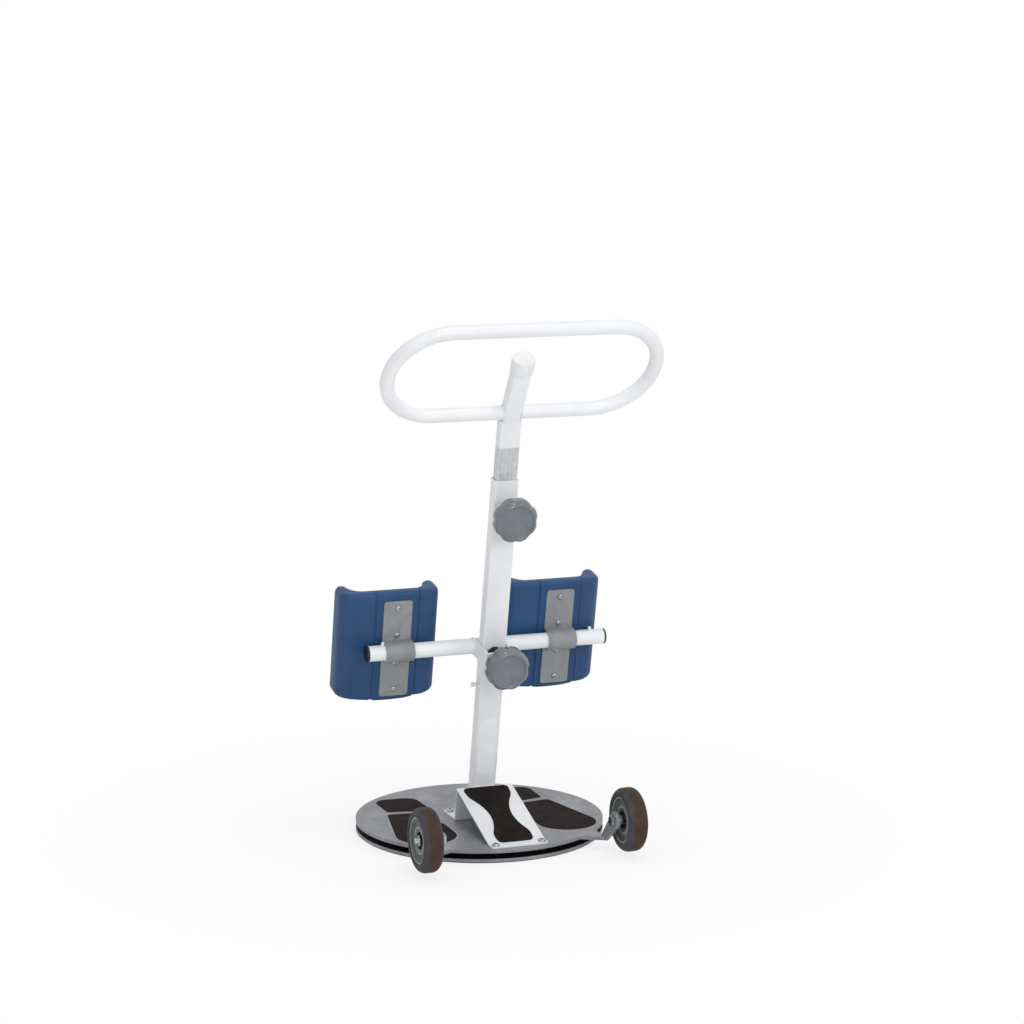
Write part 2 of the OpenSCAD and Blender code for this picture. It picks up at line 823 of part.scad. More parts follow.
module handle_loop() {
    color("#f6f7f8") loop_frame() difference() {
        loop_run(loop_d, neck_w / 2);
        loop_run(loop_d - 2 * loop_wall, neck_w / 2 - over);
    }
}

// Clamp knobs; local z runs from a knob's seat towards the carer

module knob() {
    color("#6f7479") difference() {
        union() {
            cylinder(h = knob_neck_l, d = knob_neck_d);
            translate([0, 0, knob_neck_l]) linear_extrude(knob_h) difference() {
                circle(knob_r);
                for (i = [0 : knob_lobes - 1]) rotate(360 * i / knob_lobes)
                    translate([knob_r + notch_r - notch_depth, 0]) circle(notch_r);
            }
            translate([0, 0, knob_neck_l + knob_h])
                cylinder(h = knob_face_h, r1 = knob_r - notch_depth - fit, r2 = knob_face_r);
        }
        translate([0, 0, -over]) cylinder(h = stud_grip + over, d = stud_d + 2 * fit);
        translate([0, 0, knob_top - knob_cap_t]) cylinder(h = knob_cap_t + over, r = knob_cap_r + fit);
    }
}

module knob_cap() {
    color("#75797e") translate([0, 0, knob_top - knob_cap_t]) cylinder(h = knob_cap_t, r = knob_cap_r);
}

// A screw from its pressed end, at y from the mast's axis, into a knob at knob_y
module clamp_stud(end_y, knob_y) {
    color("#b4b6b8") translate([0, 0, end_y - knob_y])
        cylinder(h = knob_y - end_y + stud_grip, d = stud_d);
}

upper_end = post_d / 2 + run + tip_t;
lower_end = mast_d / 2 + run + press_t;

module upper_tip() {
    color("#e8e6dc") knob_frame(upper_knob_at, post_d / 2 + run) cylinder(h = tip_t, d = stud_d);
}

module upper_stud() knob_frame(upper_knob_at, upper_knob_y) clamp_stud(upper_end, upper_knob_y);
module upper_knob() knob_frame(upper_knob_at, upper_knob_y) knob();
module upper_knob_cap() knob_frame(upper_knob_at, upper_knob_y) knob_cap();

module pressure_disc() {
    color("#1f1f20") knob_frame(bar_at, mast_d / 2 + run) cylinder(h = press_t, d = press_d);
}

module lower_stud() knob_frame(bar_at, lower_knob_y) clamp_stud(lower_end, lower_knob_y);
module lower_knob() knob_frame(bar_at, lower_knob_y) knob();
module lower_knob_cap() knob_frame(bar_at, lower_knob_y) knob_cap();

// Crossbar group

module crossbar() {
    color("#f2f3f4") bar_frame() along_x(bar_l) difference() {
        circle(bar_r);
        circle(bar_r - bar_wall);
    }
}

module crossbar_clamp() {
    color("#f2f3f4") mast_frame() translate([0, 0, bar_at]) difference() {
        union() {
            translate([-clamp_x - clamp_t, -clamp_out, -clamp_h / 2])
                cube([2 * (clamp_x + clamp_t), clamp_t, clamp_h]);
            for (side = [-1, 1]) translate([side * (clamp_x + clamp_t / 2), 0, 0]) along_x(clamp_t) {
                translate([-clamp_out, -clamp_h / 2]) square([clamp_out + bar_y, clamp_h]);
                translate([bar_y, 0]) circle(d = clamp_h);
            }
        }
        translate([0, bar_y, 0]) along_x(bar_l) circle(bar_r + fit);
        rotate([90, 0, 0]) cylinder(h = clamp_out + over, d = bore_d);
    }
}

module clamp_boss() {
    color("#f2f3f4") knob_frame(bar_at, clamp_out) ring(boss_d, bore_d, clamp_boss_l);
}

module crossbar_caps() {
    color("#1c1c1d") bar_frame() for (side = [-1, 1])
        translate([side * bar_l / 2, 0, 0]) rotate([0, side * 90, 0]) {
            cylinder(h = bar_cap_t, d = bar_d);
            translate([0, 0, -bar_cap_l]) cylinder(h = bar_cap_l, r = bar_r - bar_wall - fit);
        }
}

module crossbar_pins() {
    color("#f2f3f4") bar_frame() difference() {
        for (side = [-1, 1]) translate([side * bar_pin_x, 0, 0])
            cylinder(h = bar_r + bar_pin_l, d = bar_pin_d);
        along_x(bar_l) circle(bar_r + fit);
    }
}

// Knee pads; local x lies along the crossbar, from the strap's middle

module pad_frame(i) bar_frame() translate([strap_places[i], 0, 0]) children();

// Puts children at each pad screw, with local z pointing into the pad
module each_pad_screw(y) {
    for (z = screw_heights) translate([0, y, z]) rotate([-90, 0, 0]) children();
}

module pad_bush(i) {
    color("#d9d6cc") pad_frame(i) along_x(strap_w) difference() {
        circle(bush_r);
        circle(bar_r + run);
    }
}

module strap_profile() {
    outer = strap_r + strap_t;
    difference() {
        union() {
            circle(outer);
            translate([0, -outer]) square([pad_back, 2 * outer]);
            translate([pad_back - strap_t, -strap_l / 2]) square([strap_t, strap_l]);
        }
        circle(strap_r);
        translate([0, -strap_r]) square([outer + over, 2 * strap_r]);
    }
}

module strap(i) {
    reach = 2 * (pad_back + strap_r);
    color("#8b8e91") pad_frame(i) difference() {
        intersection() {
            along_x(strap_w) strap_profile();
            rotate([90, 0, 0]) linear_extrude(reach, center = true)
                round_rect(strap_w, strap_l, strap_corner);
        }
        each_pad_screw(0) cylinder(h = pad_back + over, d = pad_screw_d + 2 * fit);
    }
}

module pad_screws(i) {
    color("#c2c4c6") pad_frame(i) each_pad_screw(pad_back - strap_t) {
        mirror([0, 0, 1]) dome_head(pad_head_d, pad_head_h);
        cylinder(h = strap_t + insert_l, d = pad_screw_d);
    }
}

module pad_inserts(i) {
    color("#b59a5b") pad_frame(i) each_pad_screw(pad_back)
        ring(insert_d, pad_screw_d + 2 * fit, insert_l);
}

// Across the pad: x to the side, y into the pad from its back
module pad_section() {
    straight = pad_depth - tip_r;
    difference() {
        union() {
            translate([-pad_w / 2, pad_back_r]) square([pad_w, straight - pad_back_r]);
            translate([-pad_w / 2 + pad_back_r, 0]) square([pad_w - 2 * pad_back_r, straight]);
            for (side = [-1, 1])
                translate([side * (pad_w / 2 - pad_back_r), pad_back_r]) circle(pad_back_r);
        }
        translate([-hollow_w / 2, pad_t + pad_hollow_r]) square([hollow_w, pad_depth]);
        translate([-hollow_w / 2 + pad_hollow_r, pad_t])
            square([hollow_w - 2 * pad_hollow_r, pad_depth]);
        for (side = [-1, 1])
            translate([side * (hollow_w / 2 - pad_hollow_r), pad_t + pad_hollow_r])
                circle(pad_hollow_r);
    }
    for (side = [-1, 1]) translate([side * wing_mid, straight]) circle(tip_r);
}

// Front of the pad: x to the side, y up from the crossbar
module pad_outline() {
    foot = pad_above - pad_h;
    intersection() {
        union() {
            translate([-pad_w / 2, foot + pad_foot_r])
                square([pad_w, pad_h - pad_foot_r - pad_top_r]);
            translate([-pad_w / 2 + pad_foot_r, foot])
                square([pad_w - 2 * pad_foot_r, pad_h - pad_top_r]);
            translate([-pad_w / 2 + pad_top_r, 0]) square([pad_w - 2 * pad_top_r, pad_above]);
            for (side = [-1, 1]) {
                translate([side * (pad_w / 2 - pad_foot_r), foot + pad_foot_r]) circle(pad_foot_r);
                translate([side * (pad_w / 2 - pad_top_r), pad_above - pad_top_r]) circle(pad_top_r);
            }
        }
        translate([0, foot + pad_bow_r]) circle(pad_bow_r, $fn = 360);
    }
}

module pad(i) {
    color("#2f517f") pad_frame(i) translate([0, pad_back, 0]) difference() {
        translate([-pad_shift, 0, 0]) intersection() {
            translate([0, 0, pad_above - pad_h]) linear_extrude(pad_h) pad_section();
            translate([0, pad_depth + over, 0]) rotate([90, 0, 0])
                linear_extrude(pad_depth + 2 * over) pad_outline();
        }
        for (side = [-1, 1]) translate([side * panel_w / 2 - channel_w / 2, -channel_t, -pad_h])
            cube([channel_w, 2 * channel_t, 2 * pad_h]);
        each_pad_screw(0) translate([0, 0, -over]) cylinder(h = insert_l + over, d = insert_d + 2 * fit);
    }
}

module left_bush() pad_bush(0);
module left_strap() strap(0);
module left_screws() pad_screws(0);
module left_inserts() pad_inserts(0);
module left_pad() pad(0);
module right_bush() pad_bush(1);
module right_strap() strap(1);
module right_screws() pad_screws(1);
module right_inserts() pad_inserts(1);
module right_pad() pad(1);

floor_mat();
floor_disc();
lower_race();
pivot_stud();
pivot_washer();
pivot_nut();
ball_cage();
bearing_balls();
turning_plate();
upper_race();
pivot_bush();
left_sole_grip();
left_heel_grip();
right_sole_grip();
right_heel_grip();
pedal_bracket();
pedal_grip();
bracket_screws();
bracket_nuts();
mast();
mast_boss();
mast_pins();
axle_bolts();
axle_nuts();
axle_spacers();
left_tyre();
left_hub();
left_sleeve();
right_tyre();
right_hub();
right_sleeve();
post();
post_plug();
neck();
neck_cap();
handle_loop();
upper_tip();
upper_stud();
upper_knob();
upper_knob_cap();
crossbar();
crossbar_clamp();
clamp_boss();
crossbar_caps();
crossbar_pins();
pressure_disc();
lower_stud();
lower_knob();
lower_knob_cap();
left_bush();
left_strap();
left_screws();
left_inserts();
left_pad();
right_bush();
right_strap();
right_screws();
right_inserts();
right_pad();
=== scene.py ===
import bpy
import bmesh
import math
from mathutils import Matrix, Vector


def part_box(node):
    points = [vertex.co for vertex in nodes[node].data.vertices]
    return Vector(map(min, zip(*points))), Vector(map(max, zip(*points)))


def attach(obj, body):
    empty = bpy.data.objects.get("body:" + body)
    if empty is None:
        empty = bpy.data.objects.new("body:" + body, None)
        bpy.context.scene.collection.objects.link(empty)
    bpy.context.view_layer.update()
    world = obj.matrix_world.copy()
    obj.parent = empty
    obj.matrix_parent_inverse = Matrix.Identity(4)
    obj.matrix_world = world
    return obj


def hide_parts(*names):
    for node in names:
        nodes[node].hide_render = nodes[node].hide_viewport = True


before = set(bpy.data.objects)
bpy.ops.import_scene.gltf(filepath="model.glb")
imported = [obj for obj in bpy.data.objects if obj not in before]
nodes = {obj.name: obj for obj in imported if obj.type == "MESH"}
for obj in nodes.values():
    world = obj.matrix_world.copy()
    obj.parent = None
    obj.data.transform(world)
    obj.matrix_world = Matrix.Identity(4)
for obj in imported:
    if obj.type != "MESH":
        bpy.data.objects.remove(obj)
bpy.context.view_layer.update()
scene = bpy.context.scene
mm = 0.001
sideWays = {"left": -1, "right": 1}  # the way each side lies along x
print("frame loaded,", len(nodes), "nodes")

# where the leaning parts stand, in mm and degrees
lean = {"plateTop": 24, "mastTilt": 11.5, "neckTilt": 32, "loopTilt": 38, "bendAt": 764,
        "loopUp": 15, "barAt": 327, "barY": 27, "upperKnobAt": 600}


def turned(degrees, axis):
    return Matrix.Rotation(math.radians(degrees), 4, axis)


def moved(x, y, z):
    return Matrix.Translation(Vector((x, y, z)) * mm)


mastFrame = moved(0, 0, lean["plateTop"]) @ turned(lean["mastTilt"], "X")
neckFrame = mastFrame @ moved(0, 0, lean["bendAt"]) @ turned(lean["neckTilt"] - lean["mastTilt"], "X")
loopFrame = neckFrame @ moved(0, 0, lean["loopUp"]) @ turned(lean["loopTilt"] - lean["neckTilt"], "X")
barFrame = mastFrame @ moved(0, lean["barY"], lean["barAt"])


def mastFace(at, y):  # faces out of the mast on the carer's side
    return mastFrame @ moved(0, -y, at) @ turned(90, "X")


# camera, fitted to the photo's own lines
shot = {"place": (-1.7088, -4.6948, 1.4284), "azimuth": 20.67, "pitch": 9.58, "roll": 0.13,
        "lensMm": 99.47, "sensorMm": 36, "farMetres": 60}


def addCamera():
    data = bpy.data.cameras.new("photoCamera")
    data.lens = shot["lensMm"]
    data.sensor_width = shot["sensorMm"]
    data.clip_end = shot["farMetres"]
    a, p = math.radians(shot["azimuth"]), math.radians(shot["pitch"])
    look = Vector((math.sin(a) * math.cos(p), math.cos(a) * math.cos(p), -math.sin(p)))
    camera = bpy.data.objects.new("photoCamera", data)
    camera.matrix_world = (Matrix.Translation(shot["place"])
                           @ look.to_track_quat("-Z", "Y").to_matrix().to_4x4()
                           @ turned(shot["roll"], "Z"))
    scene.collection.objects.link(camera)
    scene.camera = camera


addCamera()
print("camera set")


# materials

def linear(hexColour):
    parts = [int(hexColour[i:i + 2], 16) / 255 for i in (1, 3, 5)]
    return tuple(c / 12.92 if c <= 0.04045 else ((c + 0.055) / 1.055) ** 2.4 for c in parts) + (1.0,)


def grey(value):
    return (value, value, value, 1.0)


def perMetre(sizeMm):
    return 1000 / sizeMm  # texture scale that gives a pattern of this size


def joinSockets(tree, node, links):
    for key, source in links.items():
        tree.links.new(source, node.inputs[key])


# a key is a property, a socket's name or a socket's number; a colour mix takes 6 and 7 and gives 2,
# and a mix of plain values takes 2 and 3 and gives 0
def addNode(tree, kind, settings={}, links={}):
    node = tree.nodes.new(kind)
    for key, value in settings.items():
        if key == "stops":
            ramp = node.color_ramp
            while len(ramp.elements) < len(value):
                ramp.elements.new(0.5)
            for stop, (at, colour) in zip(ramp.elements, value):
                stop.position, stop.color = at, colour
        elif isinstance(key, str) and hasattr(node, key):
            setattr(node, key, value)
        else:
            node.inputs[key].default_value = value
    joinSockets(tree, node, links)
    return node


def newMaterial(name, settings):
    made = bpy.data.materials.new(name)
    made.use_nodes = True
    tree = made.node_tree
    shader = tree.nodes["Principled BSDF"]
    for key, value in settings.items():
        shader.inputs[key].default_value = value
    spot = addNode(tree, "ShaderNodeTexCoord").outputs["Object"]
    return made, tree, shader, spot


powderCoat = {"light": "#f0f2f4", "dark": "#e8eaee", "patchMm": 90, "peelMm": 2.6, "peelDepthMm": 0.12}


def makeWhitePowderCoat():
    # polyester powder baked on steel: even white satin with a faint orange peel
    made, tree, shader, spot = newMaterial("whitePowderCoat", {"IOR": 1.5})
    patch = addNode(tree, "ShaderNodeTexNoise", {"Scale": perMetre(powderCoat["patchMm"]), "Detail": 2.0},
                    {"Vector": spot})
    tint = addNode(tree, "ShaderNodeValToRGB",
                   {"stops": [(0.35, linear(powderCoat["dark"])), (0.65, linear(powderCoat["light"]))]},
                   {"Fac": patch.outputs["Fac"]})
    peel = addNode(tree, "ShaderNodeTexNoise", {"Scale": perMetre(powderCoat["peelMm"]), "Detail": 1.0},
                   {"Vector": spot})
    gloss = addNode(tree, "ShaderNodeMapRange", {"To Min": 0.3, "To Max": 0.44},
                    {"Value": peel.outputs["Fac"]})
    bump = addNode(tree, "ShaderNodeBump", {"Strength": 0.35, "Distance": powderCoat["peelDepthMm"] * mm},
                   {"Height": peel.outputs["Fac"]})
    joinSockets(tree, shader, {"Base Color": tint.outputs["Color"], "Roughness": gloss.outputs["Result"],
                               "Normal": bump.outputs["Normal"]})
    return made


# the black colour is painted shade for the face in the gap
plateEnamel = {"light": "#96989c", "mid": "#84868b", "dark": "#727479", "scuff": "#b2b4b6",
               "paintedGapShade": "#0c0c0d", "cloudMm": 55, "speckMm": 3.2, "speckDepthMm": 0.15,
               "scuffMm": 26, "scuffSquash": 0.25, "paintedGapShadeEdgeMm": 0.2}


def makeGreyEnamel(name, shadedAbove=None):
    # grey stoving enamel on rolled plate: clouded tone, fine specks and dull shoe scuffs; when asked, the top
    # face in the gap is painted black as painted shade
    made, tree, shader, spot = newMaterial(name, {"IOR": 1.5})
    dark = linear(plateEnamel["dark"])
    cloud = addNode(tree, "ShaderNodeTexNoise",
                    {"Scale": perMetre(plateEnamel["cloudMm"]), "Detail": 4.0, "Roughness": 0.6},
                    {"Vector": spot})
    tint = addNode(tree, "ShaderNodeValToRGB",
                   {"stops": [(0.32, dark), (0.5, linear(plateEnamel["mid"])),
                              (0.7, linear(plateEnamel["light"]))]}, {"Fac": cloud.outputs["Fac"]})
    speck = addNode(tree, "ShaderNodeTexNoise", {"Scale": perMetre(plateEnamel["speckMm"]), "Detail": 2.0},
                    {"Vector": spot})
    speckMask = addNode(tree, "ShaderNodeMapRange", {"From Min": 0.5, "From Max": 0.7, "To Max": 0.6},
                        {"Value": speck.outputs["Fac"]})
    speckled = addNode(tree, "ShaderNodeMix", {"data_type": "RGBA", 7: dark},
                       {"Factor": speckMask.outputs["Result"], 6: tint.outputs["Color"]})
    drawn = addNode(tree, "ShaderNodeMapping", {"Scale": (1.0, plateEnamel["scuffSquash"], 1.0)},
                    {"Vector": spot})
    scuff = addNode(tree, "ShaderNodeTexNoise",
                    {"Scale": perMetre(plateEnamel["scuffMm"]), "Detail": 6.0, "Roughness": 0.7},
                    {"Vector": drawn.outputs["Vector"]})
    scuffMask = addNode(tree, "ShaderNodeMapRange", {"From Min": 0.58, "From Max": 0.75, "To Max": 0.4},
                        {"Value": scuff.outputs["Fac"]})
    worn = addNode(tree, "ShaderNodeMix", {"data_type": "RGBA", 7: linear(plateEnamel["scuff"])},
                   {"Factor": scuffMask.outputs["Result"], 6: speckled.outputs[2]})
    gloss = addNode(tree, "ShaderNodeMapRange", {"To Min": 0.34, "To Max": 0.58},
                    {"Value": scuff.outputs["Fac"]})
    bump = addNode(tree, "ShaderNodeBump", {"Strength": 0.3, "Distance": plateEnamel["speckDepthMm"] * mm},
                   {"Height": speck.outputs["Fac"]})
    colour = worn.outputs[2]
    if shadedAbove is not None:  # the face in the gap is painted black: painted shade
        apart = addNode(tree, "ShaderNodeSeparateXYZ", {}, {"Vector": spot})
        inShadedGap = addNode(tree, "ShaderNodeMath",
                         {"operation": "GREATER_THAN", 1: shadedAbove - plateEnamel["paintedGapShadeEdgeMm"] * mm},
                         {0: apart.outputs["Z"]})
        mixed = addNode(tree, "ShaderNodeMix", {"data_type": "RGBA", 7: linear(plateEnamel["paintedGapShade"])},
                        {"Factor": inShadedGap.outputs["Value"], 6: colour})
        colour = mixed.outputs[2]
    joinSockets(tree, shader, {"Base Color": colour, "Roughness": gloss.outputs["Result"],
                               "Normal": bump.outputs["Normal"]})
    return made


drawnTube = {"light": "#d6d8da", "dark": "#b3b7ba", "lineMm": 1.8, "lineDepthMm": 0.1, "drawShare": 0.02,
             "spangleMm": 9}


def makeGalvanisedTube():
    # galvanised cold-drawn tube: silver with long draw lines and faint spangle; both are drawn coarse to show
    made, tree, shader, spot = newMaterial("galvanisedTube", {"Metallic": 0.5})
    upright = addNode(tree, "ShaderNodeMapping", {"Rotation": (math.radians(-lean["mastTilt"]), 0, 0)},
                      {"Vector": spot})
    long = addNode(tree, "ShaderNodeMapping", {"Scale": (1.0, 1.0, drawnTube["drawShare"])},
                   {"Vector": upright.outputs["Vector"]})
    lines = addNode(tree, "ShaderNodeTexNoise", {"Scale": perMetre(drawnTube["lineMm"]), "Detail": 3.0},
                    {"Vector": long.outputs["Vector"]})
    spangle = addNode(tree, "ShaderNodeTexVoronoi", {"Scale": perMetre(drawnTube["spangleMm"])},
                      {"Vector": spot})
    mixed = addNode(tree, "ShaderNodeMix", {"data_type": "FLOAT", "Factor": 0.25},
                    {2: lines.outputs["Fac"], 3: spangle.outputs["Distance"]})
    tint = addNode(tree, "ShaderNodeValToRGB",
                   {"stops": [(0.25, linear(drawnTube["dark"])), (0.7, linear(drawnTube["light"]))]},
                   {"Fac": mixed.outputs[0]})
    gloss = addNode(tree, "ShaderNodeMapRange", {"To Min": 0.32, "To Max": 0.5},
                    {"Value": lines.outputs["Fac"]})
    bump = addNode(tree, "ShaderNodeBump", {"Strength": 0.2, "Distance": drawnTube["lineDepthMm"] * mm},
                   {"Height": lines.outputs["Fac"]})
    joinSockets(tree, shader, {"Base Color": tint.outputs["Color"], "Roughness": gloss.outputs["Result"],
                               "Normal": bump.outputs["Normal"]})
    return made


wheelSpot = {"x": 189, "y": -250, "z": 64.5}


def fromAxle(tree, spot, way):
    # place measured from this wheel's middle, and distance from its axle
    middle = (way * wheelSpot["x"] * mm, wheelSpot["y"] * mm, wheelSpot["z"] * mm)
    shifted = addNode(tree, "ShaderNodeVectorMath", {"operation": "SUBTRACT", 1: middle}, {0: spot})
    flat = addNode(tree, "ShaderNodeVectorMath", {"operation": "MULTIPLY", 1: (0, 1, 1)},
                   {0: shifted.outputs["Vector"]})
    radius = addNode(tree, "ShaderNodeVectorMath", {"operation": "LENGTH"}, {0: flat.outputs["Vector"]})
    return shifted.outputs["Vector"], radius.outputs["Value"]


tyreTone = {"tread": "#46342b", "treadDark": "#342822", "wall": "#47484d", "wallDark": "#393a3f",
            "dirtMm": 18, "wornAtMm": 2.0, "wornEdgeMm": (16.8, 8.8), "wobbleMm": 6,
            "shoulderMm": (46.5, 54.5), "ringMm": 3.4, "ringShare": 0.35, "roughMm": 1.6, "roughDepthMm": 0.3}


def makeTyreRubber(name, way):
    # vulcanised grey rubber: dull brown worn tread, grey side wall with fine moulded rings
    made, tree, shader, spot = newMaterial(name, {"Roughness": 0.72, "IOR": 1.52, "Specular IOR Level": 0.3})
    placed, radius = fromAxle(tree, spot, way)
    apart = addNode(tree, "ShaderNodeSeparateXYZ", {}, {"Vector": placed})
    worn = addNode(tree, "ShaderNodeMath", {"operation": "SUBTRACT", 1: tyreTone["wornAtMm"] * mm},
                   {0: apart.outputs["X"]})
    across = addNode(tree, "ShaderNodeMath", {"operation": "ABSOLUTE"}, {0: worn.outputs["Value"]})
    dirt = addNode(tree, "ShaderNodeTexNoise",
                   {"Scale": perMetre(tyreTone["dirtMm"]), "Detail": 5.0, "Roughness": 0.65},
                   {"Vector": spot})
    sway = tyreTone["wobbleMm"] * mm
    wobble = addNode(tree, "ShaderNodeMath", {"operation": "MULTIPLY_ADD", 1: sway, 2: -sway / 2},
                     {0: dirt.outputs["Fac"]})
    edge = addNode(tree, "ShaderNodeMath", {"operation": "ADD"},
                   {0: across.outputs["Value"], 1: wobble.outputs["Value"]})
    wornFrom, wornTo = tyreTone["wornEdgeMm"]
    treadMask = addNode(tree, "ShaderNodeMapRange",
                        {"From Min": wornFrom * mm, "From Max": wornTo * mm,
                         "interpolation_type": "SMOOTHSTEP"}, {"Value": edge.outputs["Value"]})
    wallTo, treadFrom = tyreTone["shoulderMm"]
    outer = addNode(tree, "ShaderNodeMapRange",
                    {"From Min": wallTo * mm, "From Max": treadFrom * mm, "interpolation_type": "SMOOTHSTEP"},
                    {"Value": radius})
    tread = addNode(tree, "ShaderNodeMath", {"operation": "MULTIPLY"},
                    {0: treadMask.outputs["Result"], 1: outer.outputs["Result"]})
    treadTint = addNode(tree, "ShaderNodeValToRGB",
                        {"stops": [(0.3, linear(tyreTone["treadDark"])), (0.65, linear(tyreTone["tread"]))]},
                        {"Fac": dirt.outputs["Fac"]})
    wallTint = addNode(tree, "ShaderNodeValToRGB",
                       {"stops": [(0.3, linear(tyreTone["wallDark"])), (0.65, linear(tyreTone["wall"]))]},
                       {"Fac": dirt.outputs["Fac"]})
    tint = addNode(tree, "ShaderNodeMix", {"data_type": "RGBA"},
                   {"Factor": tread.outputs["Value"], 6: wallTint.outputs["Color"],
                    7: treadTint.outputs["Color"]})
    turns = addNode(tree, "ShaderNodeMath",
                    {"operation": "MULTIPLY", 1: 2 * math.pi * perMetre(tyreTone["ringMm"])}, {0: radius})
    ring = addNode(tree, "ShaderNodeMath", {"operation": "SINE"}, {0: turns.outputs["Value"]})
    rough = addNode(tree, "ShaderNodeTexNoise", {"Scale": perMetre(tyreTone["roughMm"]), "Detail": 3.0},
                    {"Vector": spot})
    height = addNode(tree, "ShaderNodeMath", {"operation": "MULTIPLY_ADD", 1: tyreTone["ringShare"]},
                     {0: ring.outputs["Value"], 2: rough.outputs["Fac"]})
    bump = addNode(tree, "ShaderNodeBump", {"Strength": 0.45, "Distance": tyreTone["roughDepthMm"] * mm},
                   {"Height": height.outputs["Value"]})
    joinSockets(tree, shader, {"Base Color": tint.outputs[2], "Normal": bump.outputs["Normal"]})
    return made


# the ring colour is painted highlight on the ridges, and the sunk colour is painted shade in the centre
hubTone = {"body": "#5f6563", "dark": "#4e5452", "ring": "#a1a8a4", "sunk": "#171616", "cloudMm": 12,
           "ringsMm": (39.6, 23.0), "ringEdgeMm": (2.24, 0.84), "ringShare": 0.75, "sunkEdgeMm": (16.0, 15.4),
           "grainMm": 1.2, "grainDepthMm": 0.15}


def makeHubPlastic(name, way):
    # moulded grey polypropylene: waxy satin, with pale rings painted on the ridges as painted highlight and
    # the sunk centre painted dark as painted shade
    made, tree, shader, spot = newMaterial(name, {"Roughness": 0.5, "IOR": 1.49})
    radius = fromAxle(tree, spot, way)[1]
    cloud = addNode(tree, "ShaderNodeTexNoise", {"Scale": perMetre(hubTone["cloudMm"]), "Detail": 3.0},
                    {"Vector": spot})
    tint = addNode(tree, "ShaderNodeValToRGB",
                   {"stops": [(0.3, linear(hubTone["dark"])), (0.7, linear(hubTone["body"]))]},
                   {"Fac": cloud.outputs["Fac"]})
    colour = tint.outputs["Color"]
    # pale rings on the ridges: painted highlight
    ringFrom, ringTo = hubTone["ringEdgeMm"]
    for ringMm in hubTone["ringsMm"]:
        off = addNode(tree, "ShaderNodeMath", {"operation": "SUBTRACT", 1: ringMm * mm}, {0: radius})
        away = addNode(tree, "ShaderNodeMath", {"operation": "ABSOLUTE"}, {0: off.outputs["Value"]})
        ridgeHighlightMask = addNode(tree, "ShaderNodeMapRange",
                       {"From Min": ringFrom * mm, "From Max": ringTo * mm, "To Max": hubTone["ringShare"]},
                       {"Value": away.outputs["Value"]})
        mixed = addNode(tree, "ShaderNodeMix", {"data_type": "RGBA", 7: linear(hubTone["ring"])},
                        {"Factor": ridgeHighlightMask.outputs["Result"], 6: colour})
        colour = mixed.outputs[2]
    # the sunk centre is painted dark: painted shade
    sunkFrom, sunkTo = hubTone["sunkEdgeMm"]
    sunkShadeMask = addNode(tree, "ShaderNodeMapRange", {"From Min": sunkFrom * mm, "From Max": sunkTo * mm},
                     {"Value": radius})
    mixed = addNode(tree, "ShaderNodeMix", {"data_type": "RGBA", 7: linear(hubTone["sunk"])},
                    {"Factor": sunkShadeMask.outputs["Result"], 6: colour})
    grain = addNode(tree, "ShaderNodeTexNoise", {"Scale": perMetre(hubTone["grainMm"]), "Detail": 2.0},
                    {"Vector": spot})
    bump = addNode(tree, "ShaderNodeBump", {"Strength": 0.2, "Distance": hubTone["grainDepthMm"] * mm},
                   {"Height": grain.outputs["Fac"]})
    joinSockets(tree, shader, {"Base Color": mixed.outputs[2], "Normal": bump.outputs["Normal"]})
    return made


# the glint colour is a painted highlight on the grit
gritTape = {"black": "#1b1716", "brown": "#2b2421", "glint": "#4a423e", "wearMm": 30, "gritMm": 1.5,
            "gritDepthMm": 0.5}


def makeGritTape():
    # mineral grit bonded to film: deep black, rough, with dusty wear and painted glints on the grit; grit is
    # drawn coarse so that it shows
    made, tree, shader, spot = newMaterial("mineralGritTape",
                                           {"Roughness": 0.92, "IOR": 1.5, "Specular IOR Level": 0.12})
    wear = addNode(tree, "ShaderNodeTexNoise", {"Scale": perMetre(gritTape["wearMm"]), "Detail": 4.0},
                   {"Vector": spot})
    tint = addNode(tree, "ShaderNodeValToRGB",
                   {"stops": [(0.35, linear(gritTape["black"])), (0.7, linear(gritTape["brown"]))]},
                   {"Fac": wear.outputs["Fac"]})
    grit = addNode(tree, "ShaderNodeTexVoronoi", {"Scale": perMetre(gritTape["gritMm"])}, {"Vector": spot})
    # grit tips painted lighter: painted glints
    glint = addNode(tree, "ShaderNodeMapRange", {"From Min": 0.22, "From Max": 0.08, "To Max": 0.35},
                    {"Value": grit.outputs["Distance"]})
    mixed = addNode(tree, "ShaderNodeMix", {"data_type": "RGBA", 7: linear(gritTape["glint"])},
                    {"Factor": glint.outputs["Result"], 6: tint.outputs["Color"]})
    bump = addNode(tree, "ShaderNodeBump",
                   {"Strength": 0.8, "Distance": gritTape["gritDepthMm"] * mm, "invert": True},
                   {"Height": grit.outputs["Distance"]})
    joinSockets(tree, shader, {"Base Color": mixed.outputs[2], "Normal": bump.outputs["Normal"]})
    return made


padSkin = {"light": "#1d4b7b", "dark": "#163d67", "toneMm": 70, "grainMm": 2.2, "grainDepthMm": 0.25}


